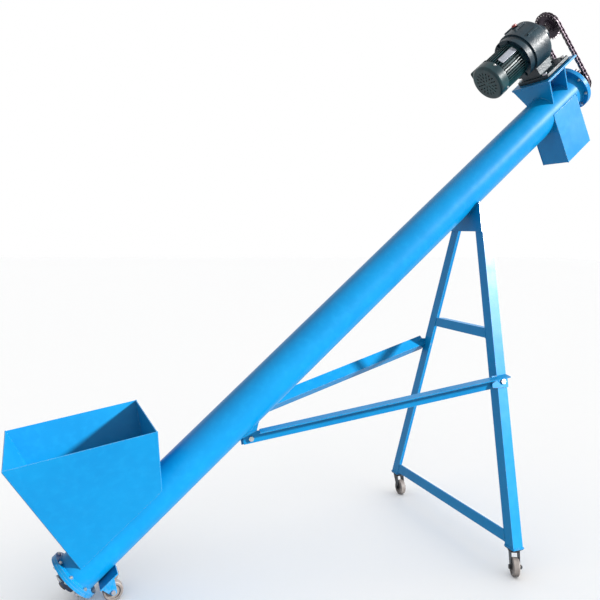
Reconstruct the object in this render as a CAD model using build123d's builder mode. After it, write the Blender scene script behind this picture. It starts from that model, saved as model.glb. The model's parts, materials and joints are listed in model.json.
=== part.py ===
from build123d import *
from math import atan, cos, degrees, pi, radians, sin, sqrt, tan
import os

# Wheeled tube auger for grain: an inclined tube with a screw inside, an intake hopper at the low
# end, a square discharge spout and a chain drive at the high end, a gearmotor on a platform, and
# an A-frame with braces on casters. Millimetres and degrees. +Z is up, +X runs from the low end
# to the high end, and the origin is on the floor under the middle of the machine.

os.makedirs("parts", exist_ok=True)

# ---------------------------------------------------------------- clearances
weld_gap = 0.05  # between welded sheet and plate edges and what they are welded to
running_gap = 0.05  # radial, shafts in bores
bolt_clearance = 0.5  # radial, bolts in holes
thread_gap = 0.05  # radial, shank in nut
race_gap = 0.3  # balls to races
chain_gap = 0.2  # rollers to sprocket teeth, and plates to plates

# ---------------------------------------------------------------- tube and screw
tube_od = 165.0
tube_wall = 4.0
tube_length = 3050.0
tube_angle = 41.12
flange_rim = 22.5  # radial, outside the tube
flange_thickness = 10.0
cover_thickness = 10.0
cover_bolt = 8.0
cover_bolt_inset = 11.0  # radial, from the flange's edge
cover_bolt_count = 8
shaft_tube_od = 48.3
shaft_tube_wall = 4.0
shaft_tube_inset = 18.0  # from each end of the tube
stub_od = 35.0
stub_grip = 90.0  # length of each stub inside the shaft tube
stub_bolt = 10.0
flight_clearance = 4.5  # flight rim to tube wall
flight_seat = 0.2
flight_pitch = 150.0
flight_thickness = 4.0
flight_start = 60.0
flight_joint = 0.5  # axial gap where one turn ends and the next starts
outlet_margin = 6.0  # inside the spout's end plates
outlet_width = 130.0
inlet_start = 84.0
inlet_end = 438.0
inlet_width = 116.0

# ---------------------------------------------------------------- hopper
hopper_sheet = 3.0
hopper_low_x = -229.0  # rim ends, from the tube's low end
hopper_high_x = 273.0
hopper_half_width = 232.0
hopper_rim_height = 639.0  # above the floor, over the tube's low end
hopper_rim_slope = 9.1
hopper_floor_low = (52.0, 29.0)  # along the tube, and off its axis
hopper_floor_high = (452.0, 57.0)

# ---------------------------------------------------------------- spout
spout_sheet = 3.0
spout_from_end = 282.0  # mouth's low edge, back from the tube's high end
spout_depth = 147.5  # mouth below the tube's underside
spout_mouth = 167.0
spout_lean = 14.0

# ---------------------------------------------------------------- flange bearings
bearing_square = 117.0
bearing_base = 15.0
bearing_boss_od = 86.0
bearing_depth = 34.0
bearing_collar = 8.0  # inner race past its rolling width
bearing_recess = 4.0  # outer race below the boss face
bearing_bolt = 12.0
bearing_bolt_spacing = 92.0
outer_race_od = 72.0
inner_race_od = 49.0
race_shoulder = 2.0  # radial, ball circle to the outer race's bore
race_width = 20.0
ball_circle = 27.2  # radius
ball_radius = 3.7
ball_count = 12

# ---------------------------------------------------------------- chain drive
chain_pitch = 15.875
chain_roller = 5.08  # radius
chain_plate_height = 15.1
chain_plate = 2.0
chain_inner_width = 9.4
chain_pin = 2.54  # radius
sprocket_teeth = 24
sprocket_width = 8.7
sprocket_hub_od = 62.0
sprocket_hub_length = 16.0
centre_pitches = 19  # centre distance in chain pitches
sprocket_gap = 2.0  # bearing collar to sprocket hub
key_width = 10.0
key_height = 8.0
key_length = 14.0
shaft_overhang = 16.0  # past the chain plane

# ---------------------------------------------------------------- gearmotor and platform
platform_rise = 69.5  # top face above the tube
platform_thickness = 8.0
platform_from_end = 195.0
platform_length = 205.0
platform_width = 240.0
support_thickness = 6.0
support_setbacks = (192.0, 84.0)  # back from the tube's high end
support_foot_inset = 5.0  # lower corners, inside the tube's width
support_foot_level = 38.0
gear_from_end = 182.0
gear_length = 124.0
gear_radius = 107.0
gear_wall = 14.0
neck_length = 62.0
neck_radius = 66.0
nose_radius = 46.0
gear_foot = (165.0, 190.0, 16.0)
gear_foot_setback = 12.0  # from the housing's motor end
gear_web_half = 58.0
gear_foot_bolt = 12.0
output_shaft_od = 35.0
adapter_length = 22.0
adapter_radius = 100.0
motor_length = 134.0
motor_barrel = 69.0  # radius
motor_bore = 62.0  # radius
fin_radius = 81.0
fin_count = 40
fin_thickness = 2.6
bell_length = 10.0
fan_cover_radius = 83.0
fan_cover_length = 50.0
fan_cover_sheet = 1.6
fan_cover_corner = 12.0  # outside bend radius
rotor_shaft = 12.0  # radius
rotor_radius = 42.0
air_gap = 0.5
core_length = 90.0
fan_radius = 62.0
fan_blades = 8
box_size = (110.0, 92.0, 54.0)
box_wall = 4.0
pad_face = 86.0  # terminal box seat, off the motor axis
gland_radius = 11.0

# ---------------------------------------------------------------- A-frame
angle_size = 50.0
angle_thickness = 5.0
frame_from_end = 739.0  # where the frame crosses the tube's axis, back from its high end
frame_lean = 2.75
leg_floor_half = 510.6  # outer corner line at floor level
leg_shoulder = 7.7  # outer corner line outside the tube at the leg's top
leg_top_drop = 9.0  # below the tube's underside
base_beam_low = 123.0
base_beam_size = 48.0
crossbar_low = 942.0
crossbar_size = 42.0
crossbar_thickness = 4.0
top_plate_drop = 96.0  # below the tube's underside
top_plate_rise = 34.0
top_plate_thickness = 5.0
foot_plate_size = 58.0
foot_plate_thickness = 5.0
brace_bolt = 12.0
lug_thickness = 6.0
near_brace_station = 797.0  # along the tube
near_brace_side = 25.0  # off centre
near_brace_gap = 1.0  # web's middle below the tube
near_brace_leg_height = 769.0
near_brace_overrun = 39.0  # its flange, past the leg's corner
far_brace_station = 842.0
far_brace_gap = 5.5  # outside the tube
far_brace_level = -51.0  # off the tube's axis
far_brace_leg_height = 843.0

# ---------------------------------------------------------------- casters
wheel_radius = 37.5
wheel_width = 28.0
wheel_edge = 5.0
tread_depth = 10.0  # radial
dish_depth = 4.0
wheel_boss = 13.0  # radius
wheel_bolt = 10.0
fork_gap = 1.5
fork_thickness = 3.0
caster_height = 108.0
caster_plate = (54.0, 54.0, 4.0)
caster_trail = 27.0
near_caster_heading = -117.0  # from kingpin to wheel, off +X
far_caster_heading = -94.0
swivel_race = 26.0  # radius
fork_crown = 25.0  # radius
kingpin = 6.0  # radius
lower_wheel_offset = 63.0
lower_wheel_station = 66.0
lower_wheel_drop = 3.0  # wheel rim to its mounting plate
lower_plate = (84.0, 176.0, 5.0)
lower_fork_thickness = 4.0

# ---------------------------------------------------------------- worked-out values
tube_radius = tube_od / 2
flange_od = tube_od + 2 * flange_rim
cover_bolt_circle = flange_od - 2 * cover_bolt_inset
flight_radius = tube_radius - tube_wall - flight_clearance
pitch_radius = chain_pitch / (2 * sin(pi / sprocket_teeth))
tip_radius = chain_pitch * (0.6 + 1 / tan(pi / sprocket_teeth)) / 2
drive_height = centre_pitches * chain_pitch  # gearmotor axis, off the tube axis
inner_plate_face = chain_inner_width / 2
outer_plate_face = inner_plate_face + chain_plate + chain_gap
pin_half_length = outer_plate_face + chain_plate + 1.3
race_start = bearing_depth - race_width - bearing_recess
hub_start = tube_length + cover_thickness + race_start + race_width + bearing_collar + sprocket_gap
chain_station = hub_start + sprocket_hub_length - sprocket_width / 2
platform_top = tube_radius + platform_rise
platform_start = tube_length - platform_from_end
gear_start = tube_length - gear_from_end
spout_low_edge = (tube_length - spout_from_end, -tube_radius - spout_depth)
lean = tan(radians(spout_lean))
plate_run = spout_sheet / cos(radians(spout_lean))
outlet_start = spout_low_edge[0] + lean * spout_depth + plate_run + outlet_margin
outlet_end = spout_low_edge[0] + spout_mouth + lean * spout_depth - plate_run - outlet_margin

slope = radians(tube_angle)
plate_level = -tube_radius - weld_gap
wheel_level = plate_level - lower_plate[2] - lower_wheel_drop - wheel_radius
foot_height = wheel_radius - sin(slope) * lower_wheel_station - cos(slope) * wheel_level
lean_angle = radians(frame_lean)
frame_crossing = tube_length - frame_from_end
crossing_height = foot_height + sin(slope) * frame_crossing
frame_x = cos(slope) * frame_crossing - tan(lean_angle) * crossing_height
tube_underside = crossing_height - tube_radius / cos(slope)
leg_top = tube_underside - leg_top_drop
leg_slope = (leg_floor_half - tube_radius - leg_shoulder) / leg_top
leg_spread = atan(leg_slope * cos(lean_angle))
along = Vector(cos(slope), 0, sin(slope))
above = Vector(-sin(slope), 0, cos(slope))
far_reach = (chain_station + outer_plate_face + chain_plate) * cos(slope)
far_reach += (pitch_radius + chain_plate_height / 2) * sin(slope)
foot = Vector(-(hopper_low_x + far_reach) / 2, 0, foot_height)
lengthwise = Plane(origin=foot, x_dir=along, z_dir=(0, -1, 0))  # x along, y above, z to the near side


def across(station, height=0.0):
    """Plane square to the tube: x to the far side, y above the tube, z towards the high end."""
    return Plane(origin=foot + along * station + above * height, x_dir=(0, 1, 0), z_dir=along)


def ring_spots(radius, count, first=0.0):
    """Points evenly round a circle."""
    angles = [radians(first + 360 * i / count) for i in range(count)]
    return [(radius * cos(a), radius * sin(a)) for a in angles]


def corner_spots(width, height):
    """The four corners of a centred rectangle."""
    return [(x * width / 2, y * height / 2) for x in (-1, 1) for y in (-1, 1)]


def fastener_set(face, spots, size, grip):
    """Hexagon bolts with nuts. The face's normal points out from under the heads."""
    with BuildSketch(face) as heads:
        with Locations(*spots):
            RegularPolygon(radius=0.8 * size, side_count=6, major_radius=False)
    extrude(heads.sketch, amount=0.65 * size)
    with BuildSketch(face) as shanks:
        with Locations(*spots):
            Circle(size / 2)
    extrude(shanks.sketch, amount=-(grip + 1.1 * size))
    with BuildSketch(face.offset(-grip)) as nuts:
        with Locations(*spots):
            RegularPolygon(radius=0.8 * size, side_count=6, major_radius=False)
            Circle(size / 2 + thread_gap, mode=Mode.SUBTRACT)
    extrude(nuts.sketch, amount=-0.8 * size)


def drill(face, spots, size, depth):
    """Clearance holes from a face, against its normal."""
    with BuildSketch(face) as holes:
        with Locations(*spots):
            Circle(size / 2 + bolt_clearance)
    extrude(holes.sketch, amount=-depth, mode=Mode.SUBTRACT)


def cut_disc(plane, radius, length):
    """Takes a round bar of space out of the current part."""
    with BuildSketch(plane) as disc:
        Circle(radius)
    extrude(disc.sketch, amount=length, mode=Mode.SUBTRACT)


def add_disc(plane, radius, length):
    with BuildSketch(plane) as disc:
        Circle(radius)
    extrude(disc.sketch, amount=length)


def tube_clearance():
    """Takes the tube's outside out of the current part."""
    cut_disc(across(-500), tube_radius + weld_gap, tube_length + 500)


def outline(plane, points):
    """A straight-sided profile on a plane."""
    with BuildSketch(plane) as profile:
        with BuildLine():
            Polyline(*points, close=True)
        make_face()
    return profile.sketch


# ================================================================ tube, covers and screw
with BuildPart() as auger_tube:
    with BuildSketch(across(0)):
        Circle(tube_radius)
        Circle(tube_radius - tube_wall, mode=Mode.SUBTRACT)
    extrude(amount=tube_length)
    with BuildSketch(lengthwise):
        with Locations(((inlet_start + inlet_end) / 2, tube_od / 2)):
            Rectangle(inlet_end - inlet_start, tube_od)
    extrude(amount=inlet_width / 2, both=True, mode=Mode.SUBTRACT)
    with BuildSketch(lengthwise):
        with Locations(((outlet_start + outlet_end) / 2, -tube_od / 2)):
            Rectangle(outlet_end - outlet_start, tube_od)
    extrude(amount=outlet_width / 2, both=True, mode=Mode.SUBTRACT)
auger_tube.part.label = "auger_tube"
export_step(auger_tube.part, "parts/auger_tube.step")

cover_spots = ring_spots(cover_bolt_circle / 2, cover_bolt_count, 180 / cover_bolt_count)
bearing_spots = corner_spots(bearing_bolt_spacing, bearing_bolt_spacing)
lower_face = Plane(origin=foot - along * cover_thickness, x_dir=(0, 1, 0), z_dir=-along)
upper_face = across(tube_length + cover_thickness)

with BuildPart() as tube_flanges:
    for station in (0, tube_length - flange_thickness):
        with BuildSketch(across(station)):
            Circle(flange_od / 2)
            Circle(tube_radius + weld_gap, mode=Mode.SUBTRACT)
        extrude(amount=flange_thickness)
    drill(lower_face, cover_spots, cover_bolt, cover_thickness + flange_thickness + 1)
    drill(upper_face, cover_spots, cover_bolt, cover_thickness + flange_thickness + 1)
tube_flanges.part.label = "tube_flanges"
export_step(tube_flanges.part, "parts/tube_flanges.step")

for name, face in (("lower_end_cover", lower_face), ("upper_end_cover", upper_face)):
    with BuildPart() as end_cover:
        with BuildSketch(face):
            Circle(flange_od / 2)
            Circle(stub_od / 2 + 2.5, mode=Mode.SUBTRACT)
        extrude(amount=-cover_thickness)
        drill(face, cover_spots, cover_bolt, cover_thickness)
        drill(face, bearing_spots, bearing_bolt, cover_thickness)
    end_cover.part.label = name
    export_step(end_cover.part, f"parts/{name}.step")

with BuildPart() as end_cover_bolts:
    for face in (lower_face, upper_face):
        fastener_set(face, cover_spots, cover_bolt, cover_thickness + flange_thickness)
end_cover_bolts.part.label = "end_cover_bolts"
export_step(end_cover_bolts.part, "parts/end_cover_bolts.step")

shaft_start = shaft_tube_inset
shaft_end = tube_length - shaft_tube_inset
shaft_bore = shaft_tube_od / 2 - shaft_tube_wall
cross_bolt_stations = (shaft_start + 22, shaft_end - 22)

with BuildPart() as screw_shaft:
    with BuildSketch(across(shaft_start)):
        Circle(shaft_tube_od / 2)
        Circle(shaft_bore, mode=Mode.SUBTRACT)
    extrude(amount=shaft_end - shaft_start)
    for station in cross_bolt_stations:
        drill(lengthwise.offset(tube_radius), [(station, 0)], stub_bolt, tube_od)
screw_shaft.part.label = "screw_shaft"
export_step(screw_shaft.part, "parts/screw_shaft.step")

flight_web = flight_radius - shaft_tube_od / 2 - flight_seat
flight_middle = flight_radius - flight_web / 2
with BuildPart() as flight_turn:
    with BuildLine() as flight_path:
        Helix(pitch=flight_pitch, height=flight_pitch - flight_joint, radius=flight_middle)
    with BuildSketch(Plane(origin=flight_path.line @ 0, x_dir=(1, 0, 0), z_dir=flight_path.line % 0)):
        Rectangle(flight_web, flight_thickness)
    sweep(is_frenet=True)

flight_count = int((outlet_end - flight_start) // flight_pitch)
with BuildPart() as screw_flights:
    with Locations(*[across(flight_start + i * flight_pitch).location for i in range(flight_count)]):
        add(flight_turn.part)
screw_flights.part.label = "screw_flights"
export_step(screw_flights.part, "parts/screw_flights.step")

key_station = chain_station + sprocket_width / 2 - key_length / 2


def add_key(height, bore):
    """A parallel key in its seat on top of a shaft."""
    with BuildSketch(across(key_station - key_length / 2, height + bore)) as key:
        Rectangle(key_width, key_height - 2 * thread_gap)
    extrude(key.sketch, amount=key_length)


with BuildPart() as stub_shafts:
    add_disc(across(shaft_start + stub_grip), shaft_bore - running_gap, -stub_grip)
    add_disc(across(shaft_start), stub_od / 2, -(shaft_start + cover_thickness + bearing_depth + 12))
    add_disc(across(shaft_end - stub_grip), shaft_bore - running_gap, stub_grip)
    add_disc(across(shaft_end), stub_od / 2, chain_station + shaft_overhang - shaft_end)
    for station in cross_bolt_stations:
        drill(lengthwise.offset(tube_radius), [(station, 0)], stub_bolt, tube_od)
    with BuildSketch(across(key_station - key_length / 2 - 1, stub_od / 2)):
        Rectangle(key_width + 2 * thread_gap, key_height)
    extrude(amount=chain_station + shaft_overhang, mode=Mode.SUBTRACT)
    for station in cross_bolt_stations:
        fastener_set(lengthwise.offset(shaft_tube_od / 2), [(station, 0)], stub_bolt, shaft_tube_od)
    add_key(0, stub_od / 2)
stub_shafts.part.label = "stub_shafts"
export_step(stub_shafts.part, "parts/stub_shafts.step")

# ================================================================ flange bearings
with BuildPart() as bearing_housings:
    for face in (lower_face, upper_face):
        with BuildSketch(face):
            RectangleRounded(bearing_square, bearing_square, 16)
        extrude(amount=bearing_base)
        with BuildSketch(face.offset(bearing_base)):
            Circle(bearing_boss_od / 2)
        extrude(amount=bearing_depth - bearing_base, taper=6)
        with BuildSketch(face):
            Circle(outer_race_od / 2 + running_gap)
        extrude(amount=bearing_depth, mode=Mode.SUBTRACT)
        drill(face.offset(bearing_base), bearing_spots, bearing_bolt, bearing_base)
        with BuildSketch(face.offset(bearing_depth - 12)):
            with Locations((0, bearing_boss_od / 2)):
                Circle(5)
        extrude(amount=8)
        cut_disc(face, outer_race_od / 2 + running_gap, bearing_depth)
bearing_housings.part.label = "bearing_housings"
export_step(bearing_housings.part, "parts/bearing_housings.step")

race_planes = [face.offset(race_start) for face in (lower_face, upper_face)]


def add_race(plane, inner, outer, collar):
    """A bearing race turned from its section, with the ball groove on the ball circle."""
    section = Plane(origin=plane.origin, x_dir=plane.x_dir, z_dir=plane.y_dir)
    rolling = plane.z_dir.dot(section.y_dir)
    with BuildSketch(section) as race:
        with Locations(((inner + outer) / 2, rolling * race_width / 2)):
            Rectangle(outer - inner, race_width)
        with Locations((ball_circle, rolling * race_width / 2)):
            Circle(ball_radius + race_gap, mode=Mode.SUBTRACT)
        if collar:
            with Locations(((inner + outer) / 2, rolling * (race_width + collar / 2))):
                Rectangle(outer - inner, collar)
    revolve(race.sketch, axis=Axis(plane.origin, plane.z_dir))


with BuildPart() as bearing_outer_races:
    for plane in race_planes:
        add_race(plane, ball_circle + race_shoulder, outer_race_od / 2, 0)
bearing_outer_races.part.label = "bearing_outer_races"
export_step(bearing_outer_races.part, "parts/bearing_outer_races.step")

with BuildPart() as bearing_inner_races:
    for plane in race_planes:
        add_race(plane, stub_od / 2 + running_gap, inner_race_od / 2, bearing_collar)
        with Locations(plane.offset(race_width / 2).location):
            with PolarLocations(ball_circle, ball_count):
                Sphere(ball_radius)
bearing_inner_races.part.label = "bearing_inner_races"
export_step(bearing_inner_races.part, "parts/bearing_inner_races.step")

with BuildPart() as bearing_bolts:
    for face in (lower_face, upper_face):
        fastener_set(face.offset(bearing_base), bearing_spots, bearing_bolt, bearing_base + cover_thickness)
bearing_bolts.part.label = "bearing_bolts"
export_step(bearing_bolts.part, "parts/bearing_bolts.step")

# ================================================================ hopper
rim_rise = tan(radians(hopper_rim_slope))


def rim_corner(x, side):
    return Vector(foot.X + x, side * hopper_half_width, hopper_rim_height + rim_rise * x)


floor_low_half = sqrt(tube_radius**2 - hopper_floor_low[1] ** 2)
floor_low_point = foot + along * hopper_floor_low[0] + above * hopper_floor_low[1]
floor_high_point = foot + along * hopper_floor_high[0] + above * hopper_floor_high[1]


def rim_depth(point):
    """How far a point lies straight below the rim's plane."""
    return hopper_rim_height + rim_rise * (point.X - foot.X) - point.Z


wall_flare = (hopper_half_width - floor_low_half) / rim_depth(floor_low_point)
floor_high_half = hopper_half_width - wall_flare * rim_depth(floor_high_point)
hopper_middle = (rim_corner(hopper_low_x, 0) + rim_corner(hopper_high_x, 0) + floor_high_point) * (1 / 3)
corners = {}
for side in (-1, 1):
    corners["rim_low", side] = rim_corner(hopper_low_x, side)
    corners["rim_high", side] = rim_corner(hopper_high_x, side)
    corners["floor_low", side] = floor_low_point + Vector(0, side * floor_low_half, 0)
    corners["floor_high", side] = floor_high_point + Vector(0, side * floor_high_half, 0)


def panel_plane(points):
    """The plane through a wall's corners, its normal pointing out of the hopper."""
    normal = (points[1] - points[0]).cross(points[2] - points[1]).normalized()
    if normal.dot(points[0] - hopper_middle) < 0:
        normal = normal * -1
    return Plane(origin=points[0], x_dir=points[1] - points[0], z_dir=normal)


def panel_corners(*names):
    return [corners[name] for name in names]


def add_panel(points):
    """Adds a flat sheet through the points, its thickness on the inner side."""
    plane = panel_plane(points)
    local = [plane.to_local_coords(point) for point in points]
    extrude(outline(plane, [(point.X, point.Y) for point in local]), amount=-hopper_sheet)


side_walls = {
    side: panel_corners(("rim_low", side), ("rim_high", side), ("floor_high", side), ("floor_low", side))
    for side in (-1, 1)
}
low_wall = panel_corners(("rim_low", -1), ("rim_low", 1), ("floor_low", 1), ("floor_low", -1))
high_wall = panel_corners(("rim_high", -1), ("rim_high", 1), ("floor_high", 1), ("floor_high", -1))
floor_wall = panel_corners(("floor_low", -1), ("floor_low", 1), ("floor_high", 1), ("floor_high", -1))
inner_faces = {side: panel_plane(side_walls[side]).offset(-hopper_sheet - weld_gap) for side in (-1, 1)}

for name, side in (("hopper_near_wall", -1), ("hopper_far_wall", 1)):
    with BuildPart() as hopper_side:
        add_panel(side_walls[side])
        tube_clearance()
    hopper_side.part.label = name
    export_step(hopper_side.part, f"parts/{name}.step")

for name, points in (("hopper_low_wall", low_wall), ("hopper_high_wall", high_wall)):
    with BuildPart() as hopper_end:
        add_panel(points)
        for side in (-1, 1):
            split(bisect_by=inner_faces[side], keep=Keep.BOTTOM)
        tube_clearance()
    hopper_end.part.label = name
    export_step(hopper_end.part, f"parts/{name}.step")

with BuildPart() as hopper_floor:
    add_panel(floor_wall)
    for face in inner_faces.values():
        split(bisect_by=face, keep=Keep.BOTTOM)
    for points in (low_wall, high_wall):
        split(bisect_by=panel_plane(points).offset(-hopper_sheet - weld_gap), keep=Keep.BOTTOM)
    tube_clearance()
hopper_floor.part.label = "hopper_floor"
export_step(hopper_floor.part, "parts/hopper_floor.step")

# ================================================================ discharge spout
spout_high_edge = (spout_low_edge[0] + spout_mouth, spout_low_edge[1])
spout_drop = -spout_low_edge[1]


def spout_profile(low_inset, high_inset):
    """The duct's side view, from its mouth up to the tube's axis."""
    low_x = spout_low_edge[0] + low_inset
    high_x = spout_high_edge[0] - high_inset
    mouth = spout_low_edge[1]
    run = lean * spout_drop
    return [(low_x, mouth), (high_x, mouth), (high_x + run, 0), (low_x + run, 0)]


with BuildPart() as spout_side_plates:
    for side in (-1, 1):
        outer_face = lengthwise.offset(side * tube_radius)
        extrude(outline(outer_face, spout_profile(0, 0)), amount=-side * spout_sheet)
    tube_clearance()
spout_side_plates.part.label = "spout_side_plates"
export_step(spout_side_plates.part, "parts/spout_side_plates.step")

spout_inner_half = tube_radius - spout_sheet - weld_gap
with BuildPart() as spout_end_plates:
    for insets in ((0, spout_mouth - plate_run), (spout_mouth - plate_run, 0)):
        extrude(outline(lengthwise, spout_profile(*insets)), amount=spout_inner_half, both=True)
    tube_clearance()
spout_end_plates.part.label = "spout_end_plates"
export_step(spout_end_plates.part, "parts/spout_end_plates.step")

# ================================================================ platform and gearmotor
foot_spots = corner_spots(gear_foot[1] - 40, gear_foot[0] - 34)
gear_foot_start = gear_start + gear_foot_setback
foot_middle = gear_foot_start + gear_foot[0] / 2
platform_face = Plane(
    origin=foot + along * foot_middle + above * platform_top, x_dir=(0, -1, 0), z_dir=above)
foot_face = platform_face.offset(gear_foot[2])

with BuildPart() as motor_platform:
    with BuildSketch(lengthwise):
        with Locations((platform_start + platform_length / 2, platform_top - platform_thickness / 2)):
            Rectangle(platform_length, platform_thickness)
    extrude(amount=platform_width / 2, both=True)
    drill(platform_face, foot_spots, gear_foot_bolt, platform_thickness)
motor_platform.part.label = "motor_platform"
export_step(motor_platform.part, "parts/motor_platform.step")

support_top = platform_top - platform_thickness - weld_gap
with BuildPart() as platform_supports:
    half = platform_width / 2
    foot_half = tube_radius - support_foot_inset
    points = [(-half, support_top), (half, support_top), (foot_half, support_foot_level),
              (-foot_half, support_foot_level)]
    for setback in support_setbacks:
        extrude(outline(across(tube_length - setback), points), amount=support_thickness)
    tube_clearance()
platform_supports.part.label = "platform_supports"
export_step(platform_supports.part, "parts/platform_supports.step")

gear_end = gear_start + gear_length
neck_end = gear_end + neck_length


def drive_plane(station):
    return across(station, drive_height)


with BuildPart() as gear_housing:
    add_disc(drive_plane(gear_start), adapter_radius, 14)
    add_disc(drive_plane(gear_start + 14), gear_radius, gear_length - 14)
    fillet(gear_housing.edges().filter_by(GeomType.CIRCLE).group_by(Axis((0, 0, 0), along))[-1], 10)
    with BuildSketch(drive_plane(gear_end)):
        Circle(neck_radius)
    with BuildSketch(drive_plane(neck_end - 18)):
        Circle(nose_radius + 4)
    loft()
    add_disc(drive_plane(neck_end - 18), nose_radius, 18)
    with BuildSketch(foot_face.offset(-gear_foot[2])):
        RectangleRounded(gear_foot[1], gear_foot[0], 12)
    extrude(amount=gear_foot[2])
    with BuildSketch(lengthwise.offset(-gear_web_half)):
        with Locations((gear_start + 14 + (gear_length - 26) / 2, platform_top + gear_foot[2] / 2 + 50)):
            Rectangle(gear_length - 40, gear_foot[2] + 84)
    extrude(amount=2 * gear_web_half)
    neck_web = outline(
        lengthwise.offset(-8),
        [(gear_end - 20, platform_top + 4), (gear_foot_start + gear_foot[0] - 8, platform_top + 4),
         (neck_end - 24, drive_height - nose_radius + 4), (gear_end - 20, drive_height)],
    )
    extrude(neck_web, amount=16)
    with BuildSketch(drive_plane(gear_start + 40)):
        with PolarLocations(gear_radius, 5, start_angle=0, angular_range=180):
            Rectangle(14, 7)
    extrude(amount=gear_length - 60)
    cut_disc(drive_plane(gear_start), gear_radius - gear_wall - 8, gear_length - gear_wall)
    cut_disc(drive_plane(gear_start), output_shaft_od / 2 + running_gap, gear_length + neck_length)
    drill(foot_face, foot_spots, gear_foot_bolt, gear_foot[2])
    cap_plane = Plane(
        origin=foot + along * (gear_start + gear_length * 0.62) + above * (drive_height + gear_radius - 4),
        x_dir=(0, 1, 0), z_dir=above)
    add_disc(cap_plane, 15, 9)
    cut_disc(cap_plane.offset(-gear_wall - 8), 8 + running_gap, 60)
gear_housing.part.label = "gear_housing"
export_step(gear_housing.part, "parts/gear_housing.step")

with BuildPart() as oil_cap:
    add_disc(cap_plane.offset(-6), 8, 15)
    add_disc(cap_plane.offset(9), 11, 8)
    fillet(oil_cap.edges().filter_by(GeomType.CIRCLE).sort_by(Axis((0, 0, 0), above))[-1], 2.5)
oil_cap.part.label = "oil_cap"
export_step(oil_cap.part, "parts/oil_cap.step")

with BuildPart() as gear_foot_bolts:
    fastener_set(foot_face, foot_spots, gear_foot_bolt, gear_foot[2] + platform_thickness)
gear_foot_bolts.part.label = "gear_foot_bolts"
export_step(gear_foot_bolts.part, "parts/gear_foot_bolts.step")

with BuildPart() as output_shaft:
    add_disc(drive_plane(gear_start + gear_length * 0.55), 60, 14)
    add_disc(drive_plane(gear_start + gear_length * 0.55), output_shaft_od / 2,
             chain_station + shaft_overhang - gear_start - gear_length * 0.55)
    with BuildSketch(across(key_station - key_length / 2 - 1, drive_height + output_shaft_od / 2)):
        Rectangle(key_width + 2 * thread_gap, key_height)
    extrude(amount=chain_station + shaft_overhang, mode=Mode.SUBTRACT)
    add_key(drive_height, output_shaft_od / 2)
output_shaft.part.label = "output_shaft"
export_step(output_shaft.part, "parts/output_shaft.step")

adapter_start = gear_start - adapter_length
motor_start = adapter_start - motor_length
bell_start = motor_start - bell_length
adapter_spots = ring_spots(adapter_radius - 10, 8, 22.5)
with BuildPart() as motor_adapter:
    add_disc(drive_plane(adapter_start), adapter_radius, adapter_length)
    with BuildSketch(drive_plane(adapter_start)):
        with Locations(*adapter_spots):
            Circle(9)
    extrude(amount=9, mode=Mode.SUBTRACT)
    cut_disc(drive_plane(adapter_start), rotor_shaft + running_gap, adapter_length)
motor_adapter.part.label = "motor_adapter"
export_step(motor_adapter.part, "parts/motor_adapter.step")

box_station = motor_start + motor_length / 2
with BuildPart() as motor_frame:
    add_disc(drive_plane(motor_start), motor_barrel, motor_length)
    with BuildSketch(drive_plane(motor_start + 6)):
        with PolarLocations((motor_barrel + fin_radius) / 2 - 2, fin_count):
            Rectangle(fin_radius - motor_barrel + 4, fin_thickness)
    extrude(amount=motor_length - 18)
    add_disc(drive_plane(adapter_start - 12), fin_radius, 12)
    with BuildSketch(lengthwise.offset(-pad_face)):
        with Locations((box_station, drive_height)):
            RectangleRounded(box_size[0] - 16, box_size[1] - 16, 6)
    extrude(amount=pad_face - motor_barrel + 14)
    cut_disc(drive_plane(motor_start), motor_bore, motor_length)
motor_frame.part.label = "motor_frame"
export_step(motor_frame.part, "parts/motor_frame.step")

core_start = motor_start + (motor_length - core_length) / 2
with BuildPart() as motor_stator:
    with BuildSketch(drive_plane(core_start)):
        Circle(motor_bore - running_gap)
        Circle(rotor_radius + air_gap, mode=Mode.SUBTRACT)
    extrude(amount=core_length)
motor_stator.part.label = "motor_stator"
export_step(motor_stator.part, "parts/motor_stator.step")

fan_start = bell_start - 28
with BuildPart() as motor_rotor:
    add_disc(drive_plane(core_start), rotor_radius, core_length)
    add_disc(drive_plane(fan_start + 3), rotor_shaft, gear_start + 34 - fan_start)
motor_rotor.part.label = "motor_rotor"
export_step(motor_rotor.part, "parts/motor_rotor.step")

with BuildPart() as motor_end_bell:
    add_disc(drive_plane(bell_start), fan_cover_radius - fan_cover_sheet - weld_gap, bell_length)
    cut_disc(drive_plane(bell_start), rotor_shaft + running_gap, bell_length)
motor_end_bell.part.label = "motor_end_bell"
export_step(motor_end_bell.part, "parts/motor_end_bell.step")

with BuildPart() as motor_fan:
    add_disc(drive_plane(fan_start), 22, 22)
    with BuildSketch(drive_plane(fan_start + 18)):
        Circle(fan_radius - 6)
    extrude(amount=3)
    with BuildSketch(drive_plane(fan_start)):
        with PolarLocations((fan_radius + 18) / 2, fan_blades):
            Rectangle(fan_radius - 18, 2.4)
    extrude(amount=20)
    cut_disc(drive_plane(fan_start), rotor_shaft + running_gap, 22)
motor_fan.part.label = "motor_fan"
export_step(motor_fan.part, "parts/motor_fan.step")

cover_end = bell_start + bell_length - fan_cover_length
with BuildPart() as fan_space:
    add_disc(drive_plane(cover_end + fan_cover_sheet), fan_cover_radius - fan_cover_sheet, fan_cover_length)
    fillet(fan_space.edges().filter_by(GeomType.CIRCLE).sort_by(Axis((0, 0, 0), along))[0],
           fan_cover_corner - fan_cover_sheet)

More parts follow.
